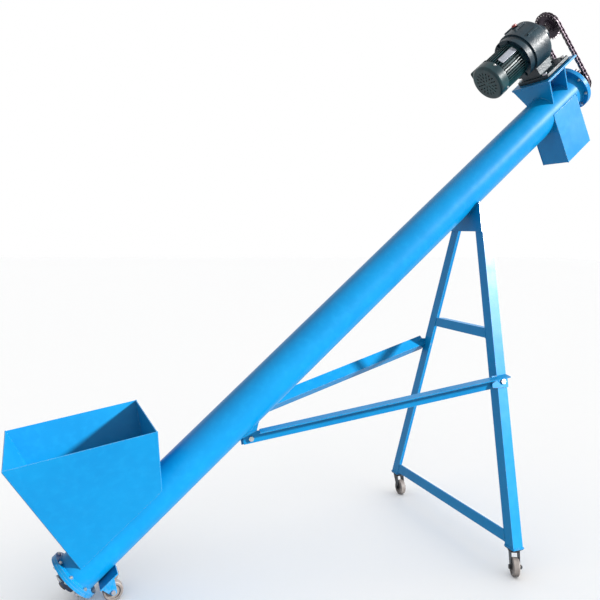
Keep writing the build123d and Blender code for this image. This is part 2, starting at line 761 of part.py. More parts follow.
with BuildPart() as fan_cover:
    add_disc(drive_plane(cover_end), fan_cover_radius, fan_cover_length)
    fillet(fan_cover.edges().filter_by(GeomType.CIRCLE).sort_by(Axis((0, 0, 0), along))[0],
           fan_cover_corner)
    add(fan_space.part, mode=Mode.SUBTRACT)
    with BuildSketch(drive_plane(cover_end)):
        for ring_radius, slots in ((18, 6), (34, 12), (50, 18)):
            with PolarLocations(ring_radius, slots):
                SlotOverall(13, 5)
    extrude(amount=fan_cover_sheet, mode=Mode.SUBTRACT)
fan_cover.part.label = "fan_cover"
export_step(fan_cover.part, "parts/fan_cover.step")

box_seat = lengthwise.offset(-pad_face)
lid_screws = corner_spots(box_size[0] - 18, box_size[1] - 18)
box_spots = [(box_station + x, drive_height + y) for x, y in lid_screws]
with BuildPart() as terminal_box:
    with BuildSketch(box_seat):
        with Locations((box_station, drive_height)):
            RectangleRounded(box_size[0], box_size[1], 8)
    extrude(amount=-box_size[2])
    with BuildSketch(box_seat.offset(-box_wall)):
        with Locations((box_station, drive_height)):
            RectangleRounded(box_size[0] - 2 * box_wall, box_size[1] - 2 * box_wall, 5)
    extrude(amount=-box_size[2], mode=Mode.SUBTRACT)
    gland_plane = Plane(
        origin=foot + along * box_station + above * (drive_height - box_size[1] / 2)
        + Vector(0, pad_face + box_size[2] / 2, 0), x_dir=(0, 1, 0), z_dir=-above)
    cut_disc(gland_plane.offset(-2 * box_wall), gland_radius * 0.7 + running_gap, 4 * box_wall)
terminal_box.part.label = "terminal_box"
export_step(terminal_box.part, "parts/terminal_box.step")

with BuildPart() as terminal_box_lid:
    with BuildSketch(box_seat.offset(-box_size[2])):
        with Locations((box_station, drive_height)):
            RectangleRounded(box_size[0] + 4, box_size[1] + 4, 9)
    extrude(amount=-box_wall)
    with BuildSketch(box_seat.offset(-box_size[2] - box_wall)):
        with Locations(*box_spots):
            Circle(4)
    extrude(amount=-3)
terminal_box_lid.part.label = "terminal_box_lid"
export_step(terminal_box_lid.part, "parts/terminal_box_lid.step")

with BuildPart() as cable_gland:
    add_disc(gland_plane.offset(-2 * box_wall), gland_radius * 0.7, 2 * box_wall)
    with BuildSketch(gland_plane):
        RegularPolygon(radius=gland_radius, side_count=6)
    extrude(amount=8)
    with BuildSketch(gland_plane.offset(8)):
        RegularPolygon(radius=gland_radius - 1.5, side_count=6)
    extrude(amount=10)
    fillet(cable_gland.edges().sort_by(Axis((0, 0, 0), above))[:6], 2)
    cut_disc(gland_plane.offset(-2 * box_wall), 3.5, 60)
cable_gland.part.label = "cable_gland"
export_step(cable_gland.part, "parts/cable_gland.step")

# ================================================================ chain drive
chain_plane = across(chain_station)
tooth_gap = chain_roller + chain_gap
gap_spots = ring_spots(pitch_radius, sprocket_teeth)


def add_sprocket(height, bore):
    """A plate sprocket with its hub towards the low end, and a keyway above its bore."""
    plane = across(chain_station - sprocket_width / 2, height)
    with BuildSketch(plane) as toothed_disc:
        Circle(tip_radius)
        with Locations(*gap_spots):
            Circle(tooth_gap, mode=Mode.SUBTRACT)
        for turn in range(sprocket_teeth):
            with Locations(Location((0, 0), 360 * turn / sprocket_teeth)):
                Polygon((pitch_radius, -tooth_gap), (tip_radius + 2, -tooth_gap - 2),
                        (tip_radius + 2, tooth_gap + 2), (pitch_radius, tooth_gap),
                        align=None, mode=Mode.SUBTRACT)
    extrude(toothed_disc.sketch, amount=sprocket_width)
    add_disc(plane, sprocket_hub_od / 2, -(sprocket_hub_length - sprocket_width))
    cut_disc(plane.offset(-sprocket_hub_length), bore + running_gap, 3 * sprocket_hub_length)
    with BuildSketch(plane.offset(-sprocket_hub_length)) as keyway:
        with Locations((0, bore)):
            Rectangle(key_width + 2 * thread_gap, key_height + 2 * thread_gap)
    extrude(keyway.sketch, amount=3 * sprocket_hub_length, mode=Mode.SUBTRACT)


sprocket_places = {
    "driven_sprocket": (0, stub_od / 2),
    "drive_sprocket": (drive_height, output_shaft_od / 2),
}
for name, place in sprocket_places.items():
    with BuildPart() as sprocket:
        add_sprocket(*place)
    sprocket.part.label = name
    export_step(sprocket.part, f"parts/{name}.step")

wrap_links = sprocket_teeth // 2
pins = [(pitch_radius * cos(pi + pi * i / wrap_links), pitch_radius * sin(pi + pi * i / wrap_links))
        for i in range(wrap_links)]
pins += [(pitch_radius, chain_pitch * i) for i in range(centre_pitches)]
pins += [(pitch_radius * cos(pi * i / wrap_links), drive_height + pitch_radius * sin(pi * i / wrap_links))
         for i in range(wrap_links)]
pins += [(-pitch_radius, drive_height - chain_pitch * i) for i in range(centre_pitches)]


def link_places(first):
    """Every second link of the chain, as places half way between its two pins."""
    places = []
    for i in range(first, len(pins), 2):
        (x0, y0), (x1, y1) = pins[i], pins[(i + 1) % len(pins)]
        turn = degrees(atan((y1 - y0) / (x1 - x0))) if abs(x1 - x0) > 1e-6 else 90
        places.append(chain_plane.location * Location(((x0 + x1) / 2, (y0 + y1) / 2, 0), (0, 0, turn)))
    return places


with BuildPart() as inner_link:
    for face in (inner_plate_face, -inner_plate_face - chain_plate):
        with BuildSketch(Plane.XY.offset(face)):
            SlotCenterToCenter(chain_pitch, chain_plate_height)
        extrude(amount=chain_plate)
    with BuildSketch(Plane.XY.offset(-inner_plate_face)):
        with GridLocations(chain_pitch, 0, 2, 1):
            Circle(chain_roller)
    extrude(amount=2 * inner_plate_face)
    with BuildSketch(Plane.XY.offset(-outer_plate_face)):
        with GridLocations(chain_pitch, 0, 2, 1):
            Circle(chain_pin + thread_gap)
    extrude(amount=2 * outer_plate_face, mode=Mode.SUBTRACT)

with BuildPart() as outer_link:
    for face in (outer_plate_face, -outer_plate_face - chain_plate):
        with BuildSketch(Plane.XY.offset(face)):
            SlotCenterToCenter(chain_pitch, chain_plate_height)
        extrude(amount=chain_plate)
    with BuildSketch(Plane.XY.offset(-pin_half_length)):
        with GridLocations(chain_pitch, 0, 2, 1):
            Circle(chain_pin)
    extrude(amount=2 * pin_half_length)

for name, link, first in (("chain_inner_links", inner_link, 0), ("chain_outer_links", outer_link, 1)):
    with BuildPart() as chain_links:
        with Locations(*link_places(first)):
            add(link.part)
    chain_links.part.label = name
    export_step(chain_links.part, f"parts/{name}.step")

# ================================================================ A-frame
frame_out = Vector(cos(lean_angle), 0, -sin(lean_angle))  # across the frame, towards the high end
frame_up = Vector(sin(lean_angle), 0, cos(lean_angle))
frame_plane = Plane(origin=(foot.X + frame_x, 0, 0), x_dir=(0, 1, 0), z_dir=frame_out)
edge_run = 1 / cos(leg_spread)


def level(height):
    """Distance up the leaning frame plane for a height above the floor."""
    return height / cos(lean_angle)


def leg_half(height):
    """Half the frame's width at its outer corner lines."""
    return leg_floor_half - leg_slope * height


def leg_strip(side, width):
    """A strip of the frame plane along a leg's outer corner line."""
    low, high = -60.0, leg_top + 80
    return [
        (side * leg_half(low), level(low)),
        (side * leg_half(high), level(high)),
        (side * (leg_half(high) - width * edge_run), level(high)),
        (side * (leg_half(low) - width * edge_run), level(low)),
    ]


def cross_strip(low, high, inset):
    """A strip of the frame plane between the two legs."""
    return [
        (-(leg_half(low) - inset * edge_run), level(low)),
        (leg_half(low) - inset * edge_run, level(low)),
        (leg_half(high) - inset * edge_run, level(high)),
        (-(leg_half(high) - inset * edge_run), level(high)),
    ]


def leg_face(side, height):
    """Plane on a leg's outer face at a height: x towards the high end, z outwards."""
    up = (frame_up + Vector(0, -side * tan(leg_spread), 0)).normalized()
    out = frame_out.cross(up) * -side
    corner = frame_plane.from_local_coords((side * leg_half(height), level(height), 0))
    return Plane(origin=corner, x_dir=frame_out, z_dir=out)


bolt_from_edge = angle_size / 2
leg_bolt_faces = {-1: leg_face(-1, near_brace_leg_height), 1: leg_face(1, far_brace_leg_height)}
foot_plate_top = caster_height + foot_plate_thickness
for name, side in (("near_leg", -1), ("far_leg", 1)):
    with BuildPart() as leg:
        extrude(outline(frame_plane, leg_strip(side, angle_size)), amount=angle_thickness)
        extrude(outline(frame_plane, leg_strip(side, angle_thickness)), amount=angle_size)
        split(bisect_by=Plane.XY.offset(foot_plate_top), keep=Keep.TOP)
        split(bisect_by=Plane.XY.offset(leg_top), keep=Keep.BOTTOM)
        drill(leg_bolt_faces[side].offset(1), [(bolt_from_edge, 0)], brace_bolt, angle_thickness + 2)
        tube_clearance()
    leg.part.label = name
    export_step(leg.part, f"parts/{name}.step")

cross_members = (
    ("base_beam", base_beam_low, base_beam_size, angle_thickness, base_beam_low),
    ("crossbar", crossbar_low, crossbar_size, crossbar_thickness,
     crossbar_low + crossbar_size - crossbar_thickness),
)
for name, low, size, thickness, shelf_low in cross_members:
    with BuildPart() as member:
        web = outline(frame_plane, cross_strip(low, low + size, angle_size + weld_gap))
        extrude(web, amount=thickness)
        shelf = outline(frame_plane, cross_strip(shelf_low, shelf_low + thickness, angle_size + weld_gap))
        extrude(shelf, amount=size)
    member.part.label = name
    export_step(member.part, f"parts/{name}.step")

with BuildPart() as top_plate:
    plate_strip = cross_strip(tube_underside - top_plate_drop, tube_underside + top_plate_rise, 0)
    extrude(outline(frame_plane, plate_strip), amount=-top_plate_thickness)
    tube_clearance()
top_plate.part.label = "top_plate"
export_step(top_plate.part, "parts/top_plate.step")

# Braces, each worked out on the near side. The far one is mirrored across.
vertical = Vector(0, 0, 1)


def angle_section(flip):
    """An angle's section from its outer corner, its second flange up (1) or down (-1)."""
    return [
        (0, 0),
        (angle_size, 0),
        (angle_size, flip * angle_thickness),
        (angle_thickness, flip * angle_thickness),
        (angle_thickness, flip * angle_size),
        (0, flip * angle_size),
    ]


def brace_frame(station, aside, rise, leg_height):
    """Where a brace starts, its direction, its outward side and its length, on the near side."""
    start = foot + along * station + above * rise - Vector(0, aside, 0)
    face = leg_face(-1, leg_height)
    end = face.origin + face.z_dir * (angle_thickness + weld_gap)
    run = end - start
    outward = run.cross(vertical).normalized()
    return start, run.normalized(), outward, run.length


def leg_envelope(height):
    """Takes the near leg and the space inside it out of the current part."""
    low, high = height - 120, height + 120
    points = [(-leg_half(low), level(low)), (-leg_half(high), level(high)),
              (0, level(high)), (0, level(low))]
    space = outline(frame_plane.offset(-weld_gap), points)
    extrude(space, amount=3 * angle_size, mode=Mode.SUBTRACT)


def leg_tab(height):
    """The brace's flattened end, lying on the leg's outer face."""
    with BuildSketch(leg_face(-1, height).offset(weld_gap)) as tab:
        with Locations((angle_size / 2 - 14, 0)):
            RectangleRounded(angle_size + 34, angle_size, 6)
    extrude(tab.sketch, amount=angle_thickness)


def brace_web(start, run, outward):
    """Plane on the brace's outer face: x along the brace, y up, z outwards."""
    return Plane(origin=start, x_dir=run, z_dir=outward)


start, run, outward, length = brace_frame(
    near_brace_station, near_brace_side, -tube_radius - near_brace_gap, near_brace_leg_height)
near_web = brace_web(start, run, outward)
tube_bolt_spot = (34.0, -6.0)
with BuildPart() as near_brace:
    corner = start + near_web.y_dir * (angle_size / 2) - outward * angle_thickness
    profile_plane = Plane(origin=corner, x_dir=outward, z_dir=run)
    extrude(outline(profile_plane, angle_section(1)), amount=length + 6)
    flange = [(0, 0), (angle_size, 0), (angle_size, angle_thickness), (0, angle_thickness)]
    extrude(outline(profile_plane, flange), amount=length + near_brace_overrun)
    notch = [(-1, angle_size), (90, angle_size), (70, angle_size / 2 - angle_thickness),
             (-1, angle_size / 2 - angle_thickness)]
    extrude(outline(near_web, notch), amount=2 * angle_size, both=True, mode=Mode.SUBTRACT)
    leg_tab(near_brace_leg_height)
    leg_envelope(near_brace_leg_height)
    drill(near_web.offset(1), [tube_bolt_spot], brace_bolt, angle_thickness + 2)
    drill(leg_face(-1, near_brace_leg_height).offset(2 * angle_thickness), [(bolt_from_edge, 0)],
          brace_bolt, 3 * angle_thickness)
    cut_disc(across(-500), tube_radius + 1, tube_length)
near_brace.part.label = "near_brace"
export_step(near_brace.part, "parts/near_brace.step")

far_start, far_run, far_outward, far_length = brace_frame(
    far_brace_station, tube_radius + far_brace_gap, far_brace_level, far_brace_leg_height)
far_web = brace_web(far_start, far_run, far_outward)
ridge_x = (far_outward + far_web.y_dir).normalized()
with BuildPart() as far_brace:
    ridge = far_start + far_run * 50 - far_outward * (angle_size * 0.36)
    ridge_plane = Plane(origin=ridge, x_dir=ridge_x, z_dir=far_run)
    extrude(outline(ridge_plane, angle_section(1)), amount=far_length - 50)
    with BuildSketch(far_web):
        with Locations((40, 0)):
            RectangleRounded(84, angle_size, 6)
    extrude(amount=-angle_thickness)
    leg_tab(far_brace_leg_height)
    leg_envelope(far_brace_leg_height)
    drill(far_web.offset(1), [(20, 0)], brace_bolt, angle_thickness + 2)
    drill(leg_face(-1, far_brace_leg_height).offset(2 * angle_thickness), [(bolt_from_edge, 0)],
          brace_bolt, 3 * angle_thickness)
    mirror(about=Plane.XZ, mode=Mode.REPLACE)
far_brace.part.label = "far_brace"
export_step(far_brace.part, "parts/far_brace.step")

with BuildPart() as near_lug:
    near_lug_outline = [(-10, -24), (62, -24), (62, 20), (84, 70), (-10, 70)]
    extrude(outline(near_web.offset(-angle_thickness), near_lug_outline), amount=-lug_thickness)
    drill(near_web, [tube_bolt_spot], brace_bolt, 3 * angle_thickness)
    tube_clearance()

with BuildPart() as far_lug:
    far_lug_outline = [(-16, -24), (38, -24), (38, 24), (-16, 24)]
    extrude(outline(far_web.offset(-angle_thickness), far_lug_outline), amount=-lug_thickness)
    stem = [(-16, 15), (38, 15), (38, 23), (-16, 23)]
    extrude(outline(far_web.offset(-angle_thickness - lug_thickness), stem), amount=-30)
    drill(far_web, [(20, 0)], brace_bolt, 3 * angle_thickness)
    tube_clearance()
    mirror(about=Plane.XZ, mode=Mode.REPLACE)

with BuildPart() as brace_lugs:
    add(near_lug.part)
    add(far_lug.part)
brace_lugs.part.label = "brace_lugs"
export_step(brace_lugs.part, "parts/brace_lugs.step")


def leg_bolt(height):
    """The bolt through a brace's flattened end and the leg."""
    face = leg_face(-1, height).offset(angle_thickness + weld_gap)
    fastener_set(face, [(bolt_from_edge, 0)], brace_bolt, 2 * angle_thickness + weld_gap)


with BuildPart() as far_brace_fasteners:
    fastener_set(far_web, [(20, 0)], brace_bolt, angle_thickness + lug_thickness)
    leg_bolt(far_brace_leg_height)
    mirror(about=Plane.XZ, mode=Mode.REPLACE)

with BuildPart() as brace_bolts:
    fastener_set(near_web, [tube_bolt_spot], brace_bolt, angle_thickness + lug_thickness)
    leg_bolt(near_brace_leg_height)
    add(far_brace_fasteners.part)
brace_bolts.part.label = "brace_bolts"
export_step(brace_bolts.part, "parts/brace_bolts.step")

# ================================================================ casters under the A-frame
leg_foot_x = foot.X + frame_x + tan(lean_angle) * foot_plate_top + angle_size / 2
leg_foot_y = leg_half(foot_plate_top) - angle_size / 2


def foot_plane(side, height):
    return Plane(origin=(leg_foot_x, side * leg_foot_y, height), x_dir=(1, 0, 0), z_dir=(0, 0, 1))


with BuildPart() as foot_plates:
    for side in (-1, 1):
        with BuildSketch(foot_plane(side, caster_height)):
            RectangleRounded(foot_plate_size, foot_plate_size, 4)
        extrude(amount=foot_plate_thickness)
foot_plates.part.label = "foot_plates"
export_step(foot_plates.part, "parts/foot_plates.step")

plate_low = caster_height - caster_plate[2]
crown_top = plate_low - 5
with BuildPart() as swivel_caster_plates:
    for side in (-1, 1):
        with BuildSketch(foot_plane(side, plate_low)):
            RectangleRounded(caster_plate[0], caster_plate[1], 4)
        extrude(amount=caster_plate[2])
        with BuildSketch(foot_plane(side, plate_low)):
            Circle(kingpin)
        extrude(amount=-12)
        with BuildSketch(foot_plane(side, plate_low)):
            Circle(swivel_race)
        extrude(amount=-(5 - race_gap))
swivel_caster_plates.part.label = "swivel_caster_plates"
export_step(swivel_caster_plates.part, "parts/swivel_caster_plates.step")

fork_inner = wheel_width / 2 + fork_gap


def caster_side_plane(side, heading):
    """Upright plane through a swivel caster's wheel: x from the kingpin to the wheel, y up."""
    heading = radians(heading)
    back = Vector(cos(heading), sin(heading), 0)
    return Plane(origin=(leg_foot_x, side * leg_foot_y, 0), x_dir=back, z_dir=back.cross(vertical))


def turn_wheel(name, plane, spot):
    """A solid nylon wheel with a rounded tread, dished faces and a plain bore."""
    with BuildPart() as wheel:
        with BuildSketch(plane.offset(-wheel_width / 2)):
            with Locations(spot):
                Circle(wheel_radius)
        extrude(amount=wheel_width)
        fillet(wheel.edges().filter_by(GeomType.CIRCLE), wheel_edge)
        for face in (plane.offset(wheel_width / 2), plane.offset(dish_depth - wheel_width / 2)):
            with BuildSketch(face):
                with Locations(spot):
                    Circle(wheel_radius - tread_depth)
                    Circle(wheel_boss, mode=Mode.SUBTRACT)
            extrude(amount=-dish_depth, mode=Mode.SUBTRACT)
        with BuildSketch(plane.offset(-wheel_width)):
            with Locations(spot):
                Circle(wheel_bolt / 2 + running_gap)
        extrude(amount=2 * wheel_width, mode=Mode.SUBTRACT)
    wheel.part.label = name
    export_step(wheel.part, f"parts/{name}.step")


for name, side, heading in (("near", -1, near_caster_heading), ("far", 1, far_caster_heading)):
    wheel_plane = caster_side_plane(side, heading)
    hub = (caster_trail, wheel_radius)
    with BuildPart() as swivel_fork:
        with BuildSketch(foot_plane(side, crown_top)):
            Circle(fork_crown)
        extrude(amount=-fork_thickness)
        with BuildSketch(wheel_plane.offset(-fork_inner - fork_thickness)):
            with BuildLine():
                Polyline((-22, crown_top), (24, crown_top), (caster_trail + 13, hub[1] + 4),
                         (caster_trail + 9, hub[1] - 11), (caster_trail - 9, hub[1] - 11),
                         (caster_trail - 15, hub[1] + 4), close=True)
            make_face()
        extrude(amount=2 * (fork_inner + fork_thickness))
        with BuildSketch(wheel_plane.offset(-fork_inner)):
            with Locations((0, crown_top - fork_thickness - 100)):
                Rectangle(400, 200)
        extrude(amount=2 * fork_inner, mode=Mode.SUBTRACT)
        with BuildSketch(foot_plane(side, crown_top)):
            Circle(kingpin + race_gap)
        extrude(amount=-fork_thickness, mode=Mode.SUBTRACT)
        drill(wheel_plane.offset(fork_inner + fork_thickness), [hub], wheel_bolt, 4 * wheel_width)
        fastener_set(wheel_plane.offset(fork_inner + fork_thickness), [hub], wheel_bolt,
                     2 * (fork_inner + fork_thickness))
    swivel_fork.part.label = f"{name}_swivel_fork"
    export_step(swivel_fork.part, f"parts/{name}_swivel_fork.step")

    turn_wheel(f"{name}_swivel_wheel", wheel_plane, hub)

# ================================================================ fixed casters at the low end
lower_hub = (lower_wheel_station, wheel_level)
with BuildPart() as lower_caster_plate:
    with BuildSketch(lengthwise):
        with Locations((lower_wheel_station + 18, plate_level - lower_plate[2] / 2)):
            Rectangle(lower_plate[0], lower_plate[2])
    extrude(amount=lower_plate[1] / 2, both=True)
lower_caster_plate.part.label = "lower_caster_plate"
export_step(lower_caster_plate.part, "parts/lower_caster_plate.step")

fork_top = plate_level - lower_plate[2]
with BuildPart() as lower_caster_forks:
    for side in (-1, 1):
        for cheek in (-1, 1):
            cheek_face = lengthwise.offset(side * lower_wheel_offset + cheek * fork_inner)
            with BuildSketch(cheek_face):
                with BuildLine():
                    Polyline((lower_hub[0] - 20, fork_top), (lower_hub[0] + 40, fork_top),
                             (lower_hub[0] + 13, lower_hub[1] - 6), (lower_hub[0] + 6, lower_hub[1] - 13),
                             (lower_hub[0] - 6, lower_hub[1] - 13), (lower_hub[0] - 13, lower_hub[1] - 6),
                             close=True)
                make_face()
                with Locations(lower_hub):
                    Circle(wheel_bolt / 2 + bolt_clearance, mode=Mode.SUBTRACT)
            extrude(amount=cheek * lower_fork_thickness)
lower_caster_forks.part.label = "lower_caster_forks"
export_step(lower_caster_forks.part, "parts/lower_caster_forks.step")

for name, side in (("near", 1), ("far", -1)):
    turn_wheel(f"{name}_lower_wheel", lengthwise.offset(side * lower_wheel_offset), lower_hub)

with BuildPart() as lower_caster_axles:
    for side in (-1, 1):
        fastener_set(lengthwise.offset(side * lower_wheel_offset + fork_inner + lower_fork_thickness),
                     [lower_hub], wheel_bolt, 2 * (fork_inner + lower_fork_thickness))
lower_caster_axles.part.label = "lower_caster_axles"
export_step(lower_caster_axles.part, "parts/lower_caster_axles.step")
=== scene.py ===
import json
import math
import random

import bmesh
import bpy
from mathutils import Matrix, Vector
from mathutils.bvhtree import BVHTree

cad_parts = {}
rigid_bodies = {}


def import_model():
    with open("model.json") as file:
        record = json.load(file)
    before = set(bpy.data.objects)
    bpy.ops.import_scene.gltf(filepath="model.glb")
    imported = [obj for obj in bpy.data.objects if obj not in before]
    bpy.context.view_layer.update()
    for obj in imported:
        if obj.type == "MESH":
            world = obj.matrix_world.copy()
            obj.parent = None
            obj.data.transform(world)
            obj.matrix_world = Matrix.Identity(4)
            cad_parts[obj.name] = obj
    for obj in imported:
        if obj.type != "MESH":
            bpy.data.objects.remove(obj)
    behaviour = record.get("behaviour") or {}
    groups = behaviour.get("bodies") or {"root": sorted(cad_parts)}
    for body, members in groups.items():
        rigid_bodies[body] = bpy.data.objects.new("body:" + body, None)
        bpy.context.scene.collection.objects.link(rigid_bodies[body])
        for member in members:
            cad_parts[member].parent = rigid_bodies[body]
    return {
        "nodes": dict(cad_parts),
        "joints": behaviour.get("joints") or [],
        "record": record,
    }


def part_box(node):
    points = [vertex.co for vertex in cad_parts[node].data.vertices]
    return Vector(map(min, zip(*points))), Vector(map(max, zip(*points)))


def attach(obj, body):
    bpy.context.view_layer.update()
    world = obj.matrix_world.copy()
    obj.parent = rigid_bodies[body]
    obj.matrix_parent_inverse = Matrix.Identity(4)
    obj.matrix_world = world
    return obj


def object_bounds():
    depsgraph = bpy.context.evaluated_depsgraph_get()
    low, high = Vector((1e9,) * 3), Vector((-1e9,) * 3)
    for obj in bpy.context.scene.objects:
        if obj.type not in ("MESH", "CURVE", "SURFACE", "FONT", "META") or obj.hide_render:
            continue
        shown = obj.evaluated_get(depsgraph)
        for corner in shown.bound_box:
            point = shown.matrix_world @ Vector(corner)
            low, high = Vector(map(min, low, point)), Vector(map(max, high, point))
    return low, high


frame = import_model()
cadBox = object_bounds()
nodes = frame["nodes"]
joints = {joint["name"]: joint for joint in frame["joints"]}

# where things are: the tube's line, the drive's line and their directions
along = Vector(joints["screw_spin"]["axis"]).normalized()  # up the tube
above = Vector((-along.z, 0, along.x))  # square to the tube, upwards
aside = Vector((0, 1, 0))  # to the far side
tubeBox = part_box("auger_tube")
chainMiddle = Vector(joints["screw_spin"]["pos_m"])
driveMiddle = Vector(joints["gear_output_spin"]["pos_m"])
motorMiddle = Vector(joints["motor_spin"]["pos_m"])
tubeMiddle = (tubeBox[0] + tubeBox[1]) / 2
tubeLength = 3.05  # metres, as all that follows
tubeLow = tubeMiddle - along * tubeLength / 2
farOut = 0.2  # outside everything round the tube and the motor


# camera
cameraSettings = {
    "place": (-0.1518, -2.4926, 1.3906),  # x from the tube's low end, y and z as in the frame
    "turn": 23.01,  # degrees from +Y towards +X
    "dip": 5.94,
    "roll": 0.97,
    "lens": 39.43,
}


def makeCamera(settings):
    data = bpy.data.cameras.new("camera")
    camera = bpy.data.objects.new("camera", data)
    bpy.context.scene.collection.objects.link(camera)
    turn, dip, roll = (math.radians(settings[key]) for key in ("turn", "dip", "roll"))
    forward = Vector((math.sin(turn) * math.cos(dip), math.cos(turn) * math.cos(dip), -math.sin(dip)))
    right = Vector((math.cos(turn), -math.sin(turn), 0))
    up = right.cross(forward)
    tiltedRight = right * math.cos(roll) + up * math.sin(roll)
    tiltedUp = up * math.cos(roll) - right * math.sin(roll)
    x, y, z = settings["place"]
    axes = Matrix((tiltedRight, tiltedUp, -forward)).transposed().to_4x4()
    camera.matrix_world = Matrix.Translation((tubeLow.x + x, y, z)) @ axes
    data.lens = settings["lens"]
    data.sensor_width = 36.0
    data.clip_start, data.clip_end = 0.05, 100.0
    data.dof.use_dof = False
    bpy.context.scene.camera = camera


makeCamera(cameraSettings)
print("camera ready")


# finishes: sockets that add up as plain sums, and one way to make any other node
class Wire:
    def __init__(self, finish, socket):
        self.finish = finish
        self.socket = socket

    def sum(self, operation, first, second):
        return self.finish.node("ShaderNodeMath", {"operation": operation}, {0: first, 1: second})

    def __add__(self, other):
        return self.sum("ADD", self, other)

    def __radd__(self, other):
        return self.sum("ADD", other, self)

    def __sub__(self, other):
        return self.sum("SUBTRACT", self, other)

    def __rsub__(self, other):
        return self.sum("SUBTRACT", other, self)

    def __mul__(self, other):
        return self.sum("MULTIPLY", self, other)

    def __rmul__(self, other):
        return self.sum("MULTIPLY", other, self)


class Finish:
    def __init__(self, name, plain):
        self.material = bpy.data.materials.new(name)
        self.material.use_nodes = True
        self.tree = self.material.node_tree
        self.shader = self.tree.nodes["Principled BSDF"]
        for socket, value in plain.items():
            self.shader.inputs[socket].default_value = value
        self.place = self.node("ShaderNodeTexCoord", {}, {}, "Object")
        self.surface = self.node("ShaderNodeNewGeometry", {}, {}, "Normal")

    def node(self, kind, settings, inputs, output=0):
        made = self.tree.nodes.new(kind)
        for key, value in settings.items():
            if key == "stops":
                self.setStops(made.color_ramp, value)
            else:
                setattr(made, key, value)
        for key, value in inputs.items():
            if isinstance(value, Wire):
                self.tree.links.new(value.socket, made.inputs[key])
            else:
                made.inputs[key].default_value = value
        return Wire(self, made.outputs[output])

    def setStops(self, ramp, stops):
        while len(ramp.elements) < len(stops):
            ramp.elements.new(1.0)
        for element, (position, colour) in zip(ramp.elements, stops):
            element.position = position
            element.color = (*colour, 1.0)

    def feed(self, socket, wire):
        self.tree.links.new(wire.socket, self.shader.inputs[socket])

    def noise(self, scale, detail=2.0, rough=0.5, vector=None):
        inputs = {"Vector": vector or self.place, "Scale": scale, "Detail": detail, "Roughness": rough}
        return self.node("ShaderNodeTexNoise", {}, inputs, 0)

    def cells(self, scale, output="Distance", vector=None, randomness=1.0):
        inputs = {"Vector": vector or self.place, "Scale": scale, "Randomness": randomness}
        return self.node("ShaderNodeTexVoronoi", {}, inputs, output)

    def fade(self, wire, low, high, bottom=0.0, top=1.0):  # a soft step between two levels
        inputs = {"Value": wire, "From Min": low, "From Max": high, "To Min": bottom, "To Max": top}
        return self.node("ShaderNodeMapRange", {"interpolation_type": "SMOOTHSTEP"}, inputs)

    def blend(self, factor, first, second, way="MIX"):
        tints = {}
        for key, tint in ((6, first), (7, second)):
            tints[key] = tint if isinstance(tint, Wire) else (*tint, 1.0)
        return self.node("ShaderNodeMix", {"data_type": "RGBA", "blend_type": way}, {0: factor, **tints}, 2)

    def vector(self, operation, first, second, output="Vector"):
        return self.node("ShaderNodeVectorMath", {"operation": operation}, {0: first, 1: second}, output)

    def measure(self, direction, origin=(0, 0, 0)):  # metres from an origin along a direction
        return self.vector("DOT_PRODUCT", self.vector("SUBTRACT", self.place, tuple(origin)),
                           tuple(direction), "Value")

    def reach(self, origin, axis):  # metres from an axis through an origin
        offset = self.vector("SUBTRACT", self.place, tuple(origin))
        return self.vector("LENGTH", self.vector("CROSS_PRODUCT", offset, tuple(axis)), (0, 0, 0), "Value")

    def facing(self, direction):
        return self.vector("DOT_PRODUCT", self.surface, tuple(direction), "Value")

    def edges(self, radius):  # 0 on open faces, rising where the surface turns within the radius
        rounded = self.node("ShaderNodeBevel", {"samples": 4}, {"Radius": radius})
        return 1.0 - self.vector("DOT_PRODUCT", rounded, self.surface, "Value")

    def stretched(self, axis, lengthwise, sideways):  # noise space pulled along an axis
        turn = Vector((0, 0, 1)).rotation_difference(Vector(axis)).inverted().to_euler()
        settings = {"vector_type": "POINT"}
        turned = self.node("ShaderNodeMapping", settings, {"Vector": self.place, "Rotation": turn})
        return self.vector("MULTIPLY", turned, (sideways, sideways, lengthwise))

    def relief(self, *layers):  # (height, depth in metres) pairs, one bump on the other
        normal = None
        for height, depth in layers:
            inputs = {"Height": height, "Distance": depth, "Strength": 1.0}
            if normal:
                inputs["Normal"] = normal
            normal = self.node("ShaderNodeBump", {}, inputs)
        self.feed("Normal", normal)


paintLook = {
    "colour": (0.0006, 0.160, 0.365),
    "deep": (0.0005, 0.140, 0.335),  # thick or shaded coats
    "thin": (0.0050, 0.205, 0.430),  # where the coat is thin
    "primer": (0.30, 0.36, 0.38),
    "steel": (0.42, 0.40, 0.38),
    "dust": (0.36, 0.34, 0.29),
    "gloss": 0.30,
    "coat": 0.06,
    "dustHeight": 0.12,  # above the floor
    "edge": 0.0020,  # how far wear reaches from an edge
    "beadEdge": 0.0028,
}


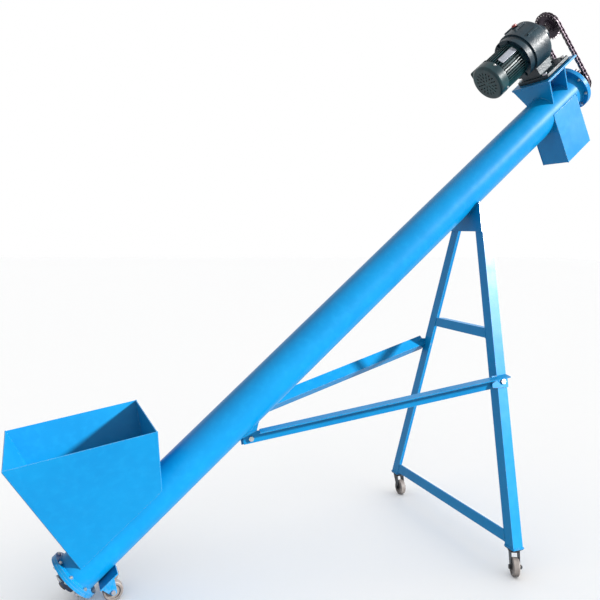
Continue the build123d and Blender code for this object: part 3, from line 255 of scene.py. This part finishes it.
def blueEnamel(name, look, beads=False):
    paint = Finish(name, {"Coat Weight": look["coat"], "Coat Roughness": 0.10, "Specular IOR Level": 0.14})
    cloudy = paint.noise(2.6, 4.0, 0.55)
    mottled = paint.noise(34.0, 3.0, 0.6)
    peel = paint.noise(420.0, 2.0, 0.5)
    dents = paint.noise(7.5, 1.0, 0.4)
    grit = paint.noise(1300.0, 1.0, 0.5)
    colour = paint.blend(paint.fade(cloudy, 0.35, 0.68), look["deep"], look["colour"])
    colour = paint.blend(paint.fade(mottled, 0.42, 0.75, 0.0, 0.22), colour, look["thin"])
    worn = paint.edges(look["beadEdge"] if beads else look["edge"])
    rubbed = paint.fade(worn + 0.35 * mottled, 0.30, 0.52)
    colour = paint.blend(rubbed * 0.55, colour, look["thin"])
    flaking = worn + 0.55 * paint.noise(90.0, 4.0, 0.65)
    chipped = paint.fade(flaking, 0.62, 0.66)
    colour = paint.blend(chipped * 0.8, colour, look["primer"])
    bare = paint.fade(flaking, 0.70, 0.74)
    colour = paint.blend(bare, colour, look["steel"])
    height = paint.measure((0, 0, 1))
    low = paint.fade(height, 0.02, look["dustHeight"], 1.0, 0.0)
    settled = paint.fade(paint.facing((0, 0, 1)), 0.55, 1.0) * paint.fade(mottled, 0.40, 0.70)
    dusty = (low * 0.22 + settled * 0.03) * paint.fade(paint.noise(60.0, 5.0, 0.7), 0.35, 0.75)
    colour = paint.blend(dusty, colour, look["dust"])
    paint.feed("Base Color", colour)
    paint.feed("Roughness", look["gloss"] + 0.10 * mottled + 0.30 * dusty + 0.25 * chipped)
    paint.feed("Metallic", bare * 0.9)
    layers = [(dents, 0.0022), (peel, 0.00011), (grit, 0.00003)]
    if beads:
        layers.append((paint.noise(240.0, 3.0, 0.6), 0.0006))
    paint.relief(*layers)
    return paint.material


bareIron = (0.22, 0.23, 0.23)
enamelLook = {
    "motor": {"colour": (0.0015, 0.014, 0.019), "light": (0.004, 0.036, 0.042),
              "dust": (0.060, 0.075, 0.070), "gloss": 0.26, "cast": 0.00015},
    "gear": {"colour": (0.0016, 0.010, 0.018), "light": (0.004, 0.024, 0.036),
             "dust": (0.070, 0.080, 0.075), "gloss": 0.32, "cast": 0.00035},
    "box": {"colour": (0.0016, 0.014, 0.016), "light": (0.004, 0.032, 0.034),
            "dust": (0.060, 0.075, 0.070), "gloss": 0.30, "cast": 0.00012},
}


def darkEnamel(name, look):  # over cast iron or sheet, by how deep its casting marks are
    enamel = Finish(name, {"Coat Weight": 0.12, "Coat Roughness": 0.12, "Specular IOR Level": 0.28})
    sandy = enamel.noise(260.0, 4.0, 0.65)
    lumps = enamel.noise(38.0, 3.0, 0.5)
    dimples = enamel.cells(420.0)
    patches = enamel.noise(11.0, 4.0, 0.6)
    worn = enamel.edges(0.0016)
    colour = enamel.blend(enamel.fade(patches, 0.35, 0.70), look["colour"], look["light"])
    rub = enamel.fade(worn + 0.4 * lumps, 0.34, 0.60)
    colour = enamel.blend(rub * 0.6, colour, look["light"])
    chip = enamel.fade(worn + 0.6 * sandy, 0.72, 0.78)
    colour = enamel.blend(chip * 0.7, colour, bareIron)
    settled = enamel.fade(enamel.facing((0, 0, 1)), 0.25, 1.0) * enamel.fade(sandy, 0.35, 0.72)
    colour = enamel.blend(settled * 0.16, colour, look["dust"])
    enamel.feed("Base Color", colour)
    enamel.feed("Roughness", look["gloss"] + 0.14 * patches + 0.25 * settled)
    enamel.feed("Metallic", chip * 0.8)
    enamel.relief((lumps, look["cast"] * 4), (sandy, look["cast"]), (dimples, look["cast"] * 0.5))
    return enamel.material


castingLook = {
    "deep": (0.010, 0.022, 0.060),
    "light": (0.022, 0.060, 0.130),
    "edge": (0.12, 0.15, 0.20),
    "rust": (0.15, 0.06, 0.03),
    "rough": 0.40,
}


def darkCasting(look):  # bearing housings, cast and brushed with dark blue
    casting = Finish("darkCasting", {"Coat Weight": 0.15, "Coat Roughness": 0.25})
    sandy = casting.noise(330.0, 5.0, 0.7)
    lumps = casting.noise(48.0, 3.0, 0.5)
    worn = casting.edges(0.0020)
    colour = casting.blend(casting.fade(lumps, 0.3, 0.7), look["deep"], look["light"])
    colour = casting.blend(casting.fade(worn + 0.5 * sandy, 0.42, 0.60) * 0.7, colour, look["edge"])
    rust = casting.fade(worn + 0.6 * casting.noise(120.0, 4.0, 0.7), 0.66, 0.74)
    colour = casting.blend(rust * 0.6, colour, look["rust"])
    casting.feed("Base Color", colour)
    casting.feed("Roughness", look["rough"] + 0.25 * sandy)
    casting.relief((lumps, 0.0012), (sandy, 0.0004))
    return casting.material


metalLook = {
    "bearingSteel": {"light": (0.66, 0.66, 0.66), "dark": (0.40, 0.39, 0.38),
                     "stain": (0.16, 0.11, 0.07), "rough": 0.20},
    "shaftSteel": {"light": (0.60, 0.60, 0.60), "dark": (0.34, 0.33, 0.32),
                   "stain": (0.16, 0.11, 0.07), "rough": 0.24},
}


def turnedSteel(name, look, axis):  # lathe marks run round the axis
    steel = Finish(name, {"Metallic": 1.0})
    rings = steel.noise(1.0, 3.0, 0.6, steel.stretched(axis, 1900.0, 6.0))
    stains = steel.noise(45.0, 4.0, 0.65)
    oil = steel.noise(14.0, 3.0, 0.5)
    colour = steel.blend(steel.fade(rings, 0.25, 0.75), look["dark"], look["light"])
    colour = steel.blend(steel.fade(stains, 0.55, 0.80) * 0.5, colour, look["stain"])
    steel.feed("Base Color", colour)
    steel.feed("Roughness", look["rough"] + 0.12 * rings + 0.20 * steel.fade(oil, 0.4, 0.7))
    steel.relief((rings, 0.00012), (stains, 0.00006))
    return steel.material


flightLook = {
    "scale": (0.13, 0.11, 0.10),  # near the pipe
    "polished": (0.50, 0.49, 0.47),  # at the rim
    "rust": (0.16, 0.08, 0.045),
    "polishFrom": 0.045,  # off the screw's axis
    "polishTo": 0.080,
}


def screwSteel(look):  # flights and their pipe, polished by grain on the outer rim, scaled near the pipe
    steel = Finish("screwSteel", {"Metallic": 0.9})
    out = steel.reach(tubeLow, along)
    scale = steel.noise(70.0, 5.0, 0.7)
    scratch = steel.noise(1.0, 3.0, 0.6, steel.stretched(along, 90.0, 900.0))
    rim = steel.fade(out + 0.02 * scale, look["polishFrom"], look["polishTo"])
    colour = steel.blend(rim, look["scale"], look["polished"])
    colour = steel.blend(steel.fade(scale, 0.52, 0.75) * 0.6, colour, look["rust"])
    steel.feed("Base Color", colour)
    steel.feed("Roughness", 0.58 - 0.28 * rim + 0.15 * scratch)
    steel.relief((scale, 0.0005), (scratch, 0.00008))
    return steel.material


chainLook = {
    "deep": (0.030, 0.020, 0.034),
    "light": (0.075, 0.052, 0.070),
    "rubbed": (0.30, 0.27, 0.28),
    "pins": (0.72, 0.68, 0.64),
    "pinsFrom": 0.00900,  # off the chain's middle, where the pins stand past the plates
    "pinsTo": 0.00925,
}


def chainSteel(look):  # dark oiled links with bright pin heads and rubbed plate edges
    steel = Finish("chainSteel", {"Metallic": 0.85, "Coat Weight": 0.35, "Coat Roughness": 0.22})
    across = steel.measure(along, chainMiddle)
    grime = steel.noise(240.0, 4.0, 0.65)
    cloud = steel.noise(30.0, 3.0, 0.5)
    offset = steel.node("ShaderNodeMath", {"operation": "ABSOLUTE"}, {0: across})
    heads = steel.fade(offset, look["pinsFrom"], look["pinsTo"])
    worn = steel.fade(steel.edges(0.0009) + 0.3 * grime, 0.30, 0.50)
    colour = steel.blend(steel.fade(cloud, 0.3, 0.7), look["deep"], look["light"])
    colour = steel.blend(worn * 0.55, colour, look["rubbed"])
    colour = steel.blend(heads, colour, look["pins"])
    steel.feed("Base Color", colour)
    steel.feed("Roughness", 0.42 + 0.2 * grime - 0.2 * heads)
    steel.relief((grime, 0.00025))
    return steel.material


sprocketLook = {
    "deep": (0.034, 0.024, 0.040),
    "light": (0.085, 0.062, 0.085),
    "run": (0.34, 0.31, 0.32),  # where the rollers run
    "edge": (0.42, 0.39, 0.40),
    "runFrom": 0.0560,  # off the sprocket's axis
    "runTo": 0.0600,
}


def sprocketSteel(look):  # dark plate, bright where the rollers run
    steel = Finish("sprocketSteel", {"Metallic": 0.85, "Coat Weight": 0.25, "Coat Roughness": 0.25})
    fromDriven = steel.reach(chainMiddle, along)
    fromDrive = steel.reach(driveMiddle, along)
    out = steel.node("ShaderNodeMath", {"operation": "MINIMUM"}, {0: fromDriven, 1: fromDrive})
    grime = steel.noise(160.0, 5.0, 0.7)
    rings = steel.noise(1.0, 2.0, 0.5, steel.stretched(along, 4.0, 260.0))
    run = steel.fade(out + 0.002 * grime, look["runFrom"], look["runTo"])
    edge = steel.fade(steel.edges(0.0016) + 0.3 * grime, 0.32, 0.55)
    colour = steel.blend(steel.fade(grime, 0.3, 0.7), look["deep"], look["light"])
    colour = steel.blend(run * 0.45, colour, look["run"])
    colour = steel.blend(edge * 0.5, colour, look["edge"])
    steel.feed("Base Color", colour)
    steel.feed("Roughness", 0.46 + 0.2 * grime - 0.14 * run)
    steel.relief((grime, 0.0004), (rings, 0.00012))
    return steel.material


zincLook = {"plate": (0.46, 0.47, 0.49), "tarnish": (0.24, 0.22, 0.19), "rubbed": (0.66, 0.66, 0.66)}


def zincPlate(look):  # bolts, nuts, washers and axles
    zinc = Finish("zincPlate", {"Metallic": 0.95})
    flakes = zinc.cells(210.0, "Color")
    tarnish = zinc.noise(90.0, 4.0, 0.6)
    worn = zinc.fade(zinc.edges(0.0008) + 0.3 * tarnish, 0.30, 0.50)
    colour = zinc.blend(0.18, look["plate"], flakes, "OVERLAY")
    colour = zinc.blend(zinc.fade(tarnish, 0.45, 0.75) * 0.5, colour, look["tarnish"])
    colour = zinc.blend(worn * 0.6, colour, look["rubbed"])
    zinc.feed("Base Color", colour)
    zinc.feed("Roughness", 0.30 + 0.28 * tarnish)
    zinc.relief((tarnish, 0.0002))
    return zinc.material


casterLook = {
    "deep": (0.022, 0.027, 0.034),
    "light": (0.060, 0.066, 0.076),
    "rubbed": (0.26, 0.26, 0.27),
    "dirt": (0.17, 0.14, 0.11),
    "dirtFrom": 0.02,  # above the floor
    "dirtTo": 0.09,
}


def pressedSteel(look):  # caster forks and plates
    steel = Finish("pressedSteel", {"Metallic": 0.9})
    mottle = steel.noise(75.0, 5.0, 0.65)
    drawn = steel.noise(1.0, 3.0, 0.6, steel.stretched((0, 0, 1), 40.0, 700.0))
    worn = steel.fade(steel.edges(0.0012) + 0.3 * mottle, 0.30, 0.52)
    colour = steel.blend(steel.fade(mottle, 0.3, 0.72), look["deep"], look["light"])
    colour = steel.blend(worn * 0.45, colour, look["rubbed"])
    low = steel.fade(steel.measure((0, 0, 1)), look["dirtFrom"], look["dirtTo"], 1.0, 0.0)
    dirt = low * steel.fade(mottle, 0.4, 0.7)
    colour = steel.blend(dirt * 0.5, colour, look["dirt"])
    steel.feed("Base Color", colour)
    steel.feed("Roughness", 0.34 + 0.25 * mottle + 0.2 * dirt)
    steel.relief((mottle, 0.0003), (drawn, 0.00006))
    return steel.material


wheelLook = {
    "deep": (0.120, 0.105, 0.100),
    "light": (0.185, 0.165, 0.155),
    "dirt": (0.050, 0.042, 0.040),
    "dirtFrom": 0.004,  # above the floor
    "dirtTo": 0.030,
}


def wheelNylon(look):  # grey-brown wheels, scuffed and dirty on the tread
    nylon = Finish("wheelNylon", {"Specular IOR Level": 0.45})
    scuff = nylon.noise(160.0, 5.0, 0.7)
    blotch = nylon.noise(28.0, 3.0, 0.5)
    fine = nylon.noise(900.0, 2.0, 0.5)
    down = nylon.fade(nylon.measure((0, 0, 1)), look["dirtFrom"], look["dirtTo"], 1.0, 0.0)
    worn = nylon.fade(nylon.edges(0.0030) + 0.5 * scuff, 0.30, 0.62)
    dirt = worn * 0.45 + down * 0.35
    colour = nylon.blend(nylon.fade(blotch, 0.3, 0.7), look["deep"], look["light"])
    colour = nylon.blend(dirt * nylon.fade(scuff, 0.3, 0.65), colour, look["dirt"])
    nylon.feed("Base Color", colour)
    nylon.feed("Roughness", 0.42 + 0.25 * scuff)
    nylon.relief((scuff, 0.0004), (fine, 0.00008))
    return nylon.material


plasticLook = {
    "gland": {"colour": (0.012, 0.012, 0.013), "faded": (0.030, 0.030, 0.032), "gloss": 0.42},
    "cap": {"colour": (0.20, 0.018, 0.015), "faded": (0.30, 0.050, 0.040), "gloss": 0.28},
    "fan": {"colour": (0.015, 0.015, 0.016), "faded": (0.035, 0.035, 0.036), "gloss": 0.50},
}


def mouldedPlastic(name, look):
    plastic = Finish(name, {"Specular IOR Level": 0.5})
    grain = plastic.noise(1500.0, 2.0, 0.5)
    marks = plastic.noise(110.0, 4.0, 0.65)
    worn = plastic.fade(plastic.edges(0.0010) + 0.4 * marks, 0.34, 0.60)
    rubbed = tuple(value * 2 + 0.05 for value in look["faded"])
    colour = plastic.blend(plastic.fade(marks, 0.35, 0.75), look["colour"], look["faded"])
    colour = plastic.blend(worn * 0.35, colour, rubbed)
    plastic.feed("Base Color", colour)
    plastic.feed("Roughness", look["gloss"] + 0.2 * marks)
    plastic.relief((marks, 0.00025), (grain, 0.00005))
    return plastic.material


coreLook = {"gap": (0.07, 0.06, 0.055), "sheet": (0.26, 0.23, 0.20), "rust": (0.20, 0.09, 0.04)}


def coreSteel(look):  # stacked laminations, varnished
    core = Finish("coreSteel", {"Metallic": 0.6, "Coat Weight": 0.2})
    sheets = core.noise(1.0, 1.0, 0.4, core.stretched(along, 1400.0, 2.0))
    stains = core.noise(55.0, 4.0, 0.6)
    colour = core.blend(core.fade(sheets, 0.35, 0.65), look["gap"], look["sheet"])
    colour = core.blend(core.fade(stains, 0.5, 0.8) * 0.5, colour, look["rust"])
    core.feed("Base Color", colour)
    core.feed("Roughness", 0.45 + 0.2 * stains)
    core.relief((sheets, 0.0003))
    return core.material


plateLook = {"deep": (0.22, 0.24, 0.28), "light": (0.36, 0.38, 0.43), "marks": (0.14, 0.15, 0.17)}


def plateMetal(look):  # the blank rating plate
    plate = Finish("plateMetal", {"Metallic": 0.55})
    brushed = plate.noise(1.0, 3.0, 0.6, plate.stretched(along, 30.0, 1800.0))
    marks = plate.noise(70.0, 4.0, 0.65)
    colour = plate.blend(plate.fade(brushed, 0.3, 0.7), look["deep"], look["light"])
    colour = plate.blend(plate.fade(marks, 0.52, 0.8) * 0.45, colour, look["marks"])
    plate.feed("Base Color", colour)
    plate.feed("Roughness", 0.30 + 0.2 * marks)
    plate.relief((brushed, 0.00008))
    return plate.material


finishes = {
    "blue_paint": blueEnamel("blueEnamel", paintLook),
    "dark_casting": darkCasting(castingLook),
    "bearing_steel": turnedSteel("bearingSteel", metalLook["bearingSteel"], along),
    "screw_steel": screwSteel(flightLook),
    "sprocket_steel": sprocketSteel(sprocketLook),
    "chain_steel": chainSteel(chainLook),
    "gear_paint": darkEnamel("gearEnamel", enamelLook["gear"]),
    "motor_paint": darkEnamel("motorEnamel", enamelLook["motor"]),
    "box_paint": darkEnamel("boxEnamel", enamelLook["box"]),
    "gland_nylon": mouldedPlastic("glandNylon", plasticLook["gland"]),
    "cap_plastic": mouldedPlastic("capPlastic", plasticLook["cap"]),
    "shaft_steel": turnedSteel("shaftSteel", metalLook["shaftSteel"], along),
    "stator_core": coreSteel(coreLook),
    "fan_plastic": mouldedPlastic("fanPlastic", plasticLook["fan"]),
    "fasteners": zincPlate(zincLook),
    "caster_steel": pressedSteel(casterLook),
    "wheel_nylon": wheelNylon(wheelLook),
}
weldPaint = blueEnamel("weldPaint", paintLook, beads=True)
ratingPlate = plateMetal(plateLook)
print("finishes ready:", len(finishes) + 2)

for part in frame["record"]["subparts"]:
    shown = nodes[part["node"]]
    shown.data.materials.clear()
    shown.data.materials.append(finishes[part["material_slot"]])
print("finishes on the CAD nodes")


# making pieces
pieceLook = {"sharp": 38.0, "sameSpot": 2e-6}  # degrees that stay crisp; points closer than this are one


def keepPiece(name, mesh, body, material):
    data = bpy.data.meshes.new(name)
    bmesh.ops.recalc_face_normals(mesh, faces=mesh.faces[:])
    mesh.to_mesh(data)
    mesh.free()
    piece = bpy.data.objects.new(name, data)
    bpy.context.scene.collection.objects.link(piece)
    data.materials.append(material)
    data.shade_smooth()
    data.set_sharp_from_angle(angle=math.radians(pieceLook["sharp"]))
    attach(piece, body)


def skin(mesh, rings):  # closes a run of rings, each with the same number of points
    for first, second in zip(rings, rings[1:]):
        for k in range(len(first)):
            after = (k + 1) % len(first)
            mesh.faces.new((first[k], first[after], second[after], second[k]))
    mesh.faces.new(list(reversed(rings[0])))
    mesh.faces.new(rings[-1])


def meshOf(node):
    mesh = bmesh.new()
    mesh.from_mesh(nodes[node].data)
    bmesh.ops.remove_doubles(mesh, verts=mesh.verts[:], dist=pieceLook["sameSpot"])
    return mesh


def surfaceOf(node):
    mesh = meshOf(node)
    tree = BVHTree.FromBMesh(mesh)
    mesh.free()
    return tree


def seamRuns(edged, backing, reach, bend):
    # the sharp edges of one node that lie on another, as runs of points
    mesh = meshOf(edged)
    surfaces = [surfaceOf(node) for node in backing]

    def lies(point):
        return any(tree.find_nearest(point, reach)[0] is not None for tree in surfaces)

    close = {vert.index: lies(vert.co) for vert in mesh.verts}
    links = {}
    for edge in mesh.edges:
        if len(edge.link_faces) != 2 or edge.calc_face_angle(0.0) < math.radians(bend):
            continue
        first, second = edge.verts
        if close[first.index] and close[second.index] and lies((first.co + second.co) / 2):
            links.setdefault(first.index, set()).add(second.index)
            links.setdefault(second.index, set()).add(first.index)
    points = {vert.index: vert.co.copy() for vert in mesh.verts}
    mesh.free()
    runs = []
    while links:
        ends = [index for index, others in links.items() if len(others) == 1]
        at = min(ends) if ends else min(links)
        run = [at]
        while links.get(at):
            after = min(links[at])
            links[at].discard(after)
            links[after].discard(at)
            run.append(after)
            at = after
        for index in run:
            if index in links and not links[index]:
                del links[index]
        if len(run) > 1:
            runs.append([points[index] for index in run])
    return runs


def evenly(run, step):
    lengths = [0.0]
    for first, second in zip(run, run[1:]):
        lengths.append(lengths[-1] + (second - first).length)
    count = max(2, round(lengths[-1] / step))
    spots, at = [], 0
    for i in range(count + 1):
        wanted = lengths[-1] * i / count
        while at < len(run) - 2 and lengths[at + 1] < wanted:
            at += 1
        span = max(lengths[at + 1] - lengths[at], 1e-9)
        spots.append(run[at].lerp(run[at + 1], (wanted - lengths[at]) / span))
    return spots


beadLook = {
    "bend": 25.0,  # degrees, the least that an edge turns
    "shortest": 0.006,
    "ripple": 0.0042,
    "samples": 3,  # rings in a ripple
    "sides": 7,
    "swell": 0.24,  # how far a ripple shrinks, as a share
    "uneven": 0.06,
    "wander": 0.00025,
    "end": 0.45,  # size at the ends
    "seed": 7,
}


def layBead(mesh, run, radius, chance, look):
    # a rippled bead of weld along a run of points, each ripple laid over the one before
    length = sum((after - before).length for before, after in zip(run, run[1:]))
    if length < look["shortest"]:
        return
    spots = evenly(run, look["ripple"] / look["samples"])
    rings = []
    normal = None
    for i, spot in enumerate(spots):
        ahead = (spots[min(i + 1, len(spots) - 1)] - spots[max(i - 1, 0)]).normalized()
        if normal is None:
            normal = ahead.orthogonal().normalized()
        normal = (normal - ahead * normal.dot(ahead)).normalized()
        other = ahead.cross(normal)
        ripple = (i % look["samples"]) / look["samples"]
        size = radius * (1 - look["swell"] * ripple)
        size *= chance.uniform(1 - look["uneven"], 1 + look["uneven"])
        if i in (0, len(spots) - 1):
            size *= look["end"]
        middle = spot + normal * chance.uniform(-1, 1) * look["wander"]
        ring = []
        for k in range(look["sides"]):
            turn = 2 * math.pi * k / look["sides"]
            offset = normal * math.cos(turn) * size + other * math.sin(turn) * size
            ring.append(mesh.verts.new(middle + offset))
        rings.append(ring)
    skin(mesh, rings)


hopperWalls = ["hopper_near_wall", "hopper_far_wall"]
weldSeams = {
    # piece: (bead radius, how near an edge lies, [(edged node, nodes it is welded to)])
    "tube_welds": (0.0030, 0.0006, [("tube_flanges", ["auger_tube"])]),
    "spout_welds": (0.0026, 0.0008, [
        ("spout_side_plates", ["auger_tube"]),
        ("spout_end_plates", ["auger_tube", "spout_side_plates"]),
    ]),
    "support_welds": (0.0032, 0.0008, [("platform_supports", ["auger_tube", "motor_platform"])]),
    "hopper_welds": (0.0026, 0.0008, [
        ("hopper_near_wall", ["auger_tube"]),
        ("hopper_far_wall", ["auger_tube"]),
        ("hopper_low_wall", hopperWalls + ["auger_tube"]),
        ("hopper_high_wall", hopperWalls + ["auger_tube"]),
        ("hopper_floor", hopperWalls + ["auger_tube", "hopper_high_wall"]),
    ]),
    "frame_welds": (0.0030, 0.0012, [
        ("base_beam", ["near_leg", "far_leg"]),
        ("crossbar", ["near_leg", "far_leg"]),
        ("top_plate", ["near_leg", "far_leg", "auger_tube"]),
        ("near_leg", ["foot_plates"]),
        ("far_leg", ["foot_plates"]),
    ]),
    "lug_welds": (0.0028, 0.0010, [("brace_lugs", ["auger_tube"])]),
    "low_end_welds": (0.0026, 0.0012, [
        ("lower_caster_plate", ["auger_tube"]),
        ("lower_caster_forks", ["lower_caster_plate"]),
    ]),
}
chance = random.Random(beadLook["seed"])
for pieceName, (radius, reach, seams) in weldSeams.items():
    bead = bmesh.new()
    total = 0
    for edged, backing in seams:
        runs = seamRuns(edged, backing, reach, beadLook["bend"])
        total += len(runs)
        for run in runs:
            layBead(bead, run, radius, chance, beadLook)
    for vert in bead.verts:  # beads at the machine's outline stay inside it
        vert.co = [min(max(value, low), high) for value, low, high in zip(vert.co, *cadBox)]
    print("welds:", pieceName, total, "runs,", len(bead.verts), "points")
    if len(bead.verts):
        keepPiece(pieceName, bead, "frame", weldPaint)
    else:
        bead.free()


# small pieces that the frame doesn't carry: a blank plate, screws and grease nipples
def radial(degrees):  # square to the tube, turned from above towards the near side
    return above * math.cos(math.radians(degrees)) - aside * math.sin(math.radians(degrees))


def turnPiece(mesh, place, direction, profile, count):
    # (radius, height) pairs turned about a direction: six sides make a hexagon head
    direction = direction.normalized()
    first = direction.orthogonal().normalized()
    second = direction.cross(first)
    rings = []
    for radius, height in profile:
        ring = []
        for k in range(count):
            turn = 2 * math.pi * k / count
            offset = (first * math.cos(turn) + second * math.sin(turn)) * radius
            ring.append(mesh.verts.new(place + direction * height + offset))
        rings.append(ring)
    skin(mesh, rings)


def landing(tree, start, direction):  # where a line from outside meets a surface
    return tree.ray_cast(start, direction)[0]


ratingLook = {
    "turn": 49.0,  # round the motor, from above
    "station": 0.050,  # along the motor
    "length": 0.098,
    "width": 0.030,
    "corner": 0.004,
    "thickness": 0.0012,
    "bevel": 0.0004,
    "straight": 0.7,  # share of the thickness under the bevel
    "clearance": 0.0003,  # off the fins
    "probes": 16,
    "cornerSteps": 5,
    "rivetInset": 0.0060,
    "rivet": [(0.0024, 0.0), (0.0024, 0.0004), (0.0018, 0.0013), (0.0006, 0.0017)],
}


def makeRatingPlate(look):
    out = radial(look["turn"])
    side = along.cross(out)
    middle = motorMiddle + along * look["station"]
    fins = surfaceOf("motor_frame")
    reaches = []
    for k in range(look["probes"] + 1):  # the plate lies on the tallest fin under it
        start = middle + side * look["width"] * (k / look["probes"] - 0.5) + out * farOut
        met = landing(fins, start, -out)
        if met:
            reaches.append((met - middle).dot(out))
    seat = middle + out * (max(reaches) + look["clearance"])
    mesh = bmesh.new()
    outline = []
    halfLength, halfWidth, corner = look["length"] / 2, look["width"] / 2, look["corner"]
    for k, (x, y) in enumerate(((1, 1), (-1, 1), (-1, -1), (1, -1))):
        for step in range(look["cornerSteps"] + 1):
            turn = math.radians(90) * (k + step / look["cornerSteps"])
            outline.append((x * (halfLength - corner) + corner * math.cos(turn),
                            y * (halfWidth - corner) + corner * math.sin(turn)))
    thickness = look["thickness"]
    rings = []
    for height, inset in ((0.0, 0.0), (thickness * look["straight"], 0.0), (thickness, look["bevel"])):
        shrink = 1 - inset / halfWidth
        rings.append([mesh.verts.new(seat + along * x * shrink + side * y * shrink + out * height)
                      for x, y in outline])
    skin(mesh, rings)
    keepPiece("rating_plate", mesh, "frame", ratingPlate)
    rivets = bmesh.new()
    x, y = halfLength - look["rivetInset"], halfWidth - look["rivetInset"]
    for across, up in ((-x, -y), (-x, y), (x, -y), (x, y)):
        place = seat + along * across + side * up + out * thickness
        turnPiece(rivets, place, out, look["rivet"], 16)
    keepPiece("rating_plate_rivets", rivets, "frame", finishes["fasteners"])


screwLook = {
    "station": -0.031,  # along the motor, near the cover's open end
    "turns": (45.0, 135.0, 225.0, 315.0),
    "washer": [(0.0056, -0.0004), (0.0056, 0.0006), (0.0050, 0.0010)],
    "head": [(0.0040, 0.0008), (0.0040, 0.0026), (0.0033, 0.0034)],
}


def makeCoverScrews(look):
    mesh = bmesh.new()
    cover = surfaceOf("fan_cover")
    middle = motorMiddle + along * look["station"]
    for turn in look["turns"]:
        out = radial(turn)
        place = landing(cover, middle + out * farOut, -out)
        turnPiece(mesh, place, out, look["washer"], 20)
        turnPiece(mesh, place, out, look["head"], 6)
    keepPiece("fan_cover_screws", mesh, "frame", finishes["fasteners"])


nippleLook = {
    "stations": (-0.0300, -3.1360),  # along the screw, from its chain end
    "turn": 38.0,  # round the tube, from above
    "base": [(0.0046, -0.0010), (0.0046, 0.0040), (0.0040, 0.0046)],
    "stem": [(0.0023, 0.0040), (0.0023, 0.0080), (0.0032, 0.0092), (0.0032, 0.0110), (0.0012, 0.0128)],
}


def makeGreaseNipples(look):
    mesh = bmesh.new()
    housings = surfaceOf("bearing_housings")
    out = radial(look["turn"])
    for station in look["stations"]:
        place = landing(housings, chainMiddle + along * station + out * farOut, -out)
        if place:
            turnPiece(mesh, place, out, look["base"], 6)
            turnPiece(mesh, place, out, look["stem"], 16)
    print("grease nipples:", len(mesh.verts), "points")
    keepPiece("grease_nipples", mesh, "frame", finishes["bearing_steel"])


makeRatingPlate(ratingLook)
makeCoverScrews(screwLook)
makeGreaseNipples(nippleLook)
print("small pieces ready")


# floor and light
stageLook = {
    "floor": (0.985, 0.988, 0.990),
    "speckle": 0.99,  # how dark the floor's spots are, as a share
    "sky": (1.0, 1.0, 1.0),
    "skyPower": 1.0,
    "half": 30.0,  # half the floor's side
}


def makeStage(look):
    data = bpy.data.meshes.new("floor")
    mesh = bmesh.new()
    bmesh.ops.create_grid(mesh, x_segments=1, y_segments=1, size=look["half"])
    mesh.to_mesh(data)
    mesh.free()
    floor = bpy.data.objects.new("floor", data)
    bpy.context.scene.collection.objects.link(floor)
    ground = Finish("paleFloor", {"Roughness": 0.6})
    speckle = ground.noise(9.0, 4.0, 0.6)
    darker = tuple(value * look["speckle"] for value in look["floor"])
    ground.feed("Base Color", ground.blend(speckle, look["floor"], darker))
    data.materials.append(ground.material)
    world = bpy.data.worlds.new("studio")
    bpy.context.scene.world = world
    world.use_nodes = True
    background = world.node_tree.nodes["Background"]
    background.inputs["Color"].default_value = (*look["sky"], 1.0)
    background.inputs["Strength"].default_value = look["skyPower"]


sunLook = {
    "towards": (0.65, -0.62, 0.42),  # from the machine to the sun
    "power": 10.0,
    "spread": 4.0,  # degrees
    "colour": (1.0, 0.985, 0.96),
}


def makeSun(look):
    data = bpy.data.lights.new("sun", "SUN")
    data.energy = look["power"]
    data.angle = math.radians(look["spread"])
    data.color = look["colour"]
    sun = bpy.data.objects.new("sun", data)
    bpy.context.scene.collection.objects.link(sun)
    sun.rotation_euler = Vector(look["towards"]).to_track_quat("Z", "Y").to_euler()
    lit = bpy.data.collections.new("sunlit")  # the machine alone, so the floor stays even
    for piece in bpy.data.objects:
        if piece.type == "MESH" and piece.name != "floor":
            lit.objects.link(piece)
    sun.light_linking.receiver_collection = lit


makeStage(stageLook)
makeSun(sunLook)
bpy.context.scene.view_settings.view_transform = "Standard"
print("floor and light ready")
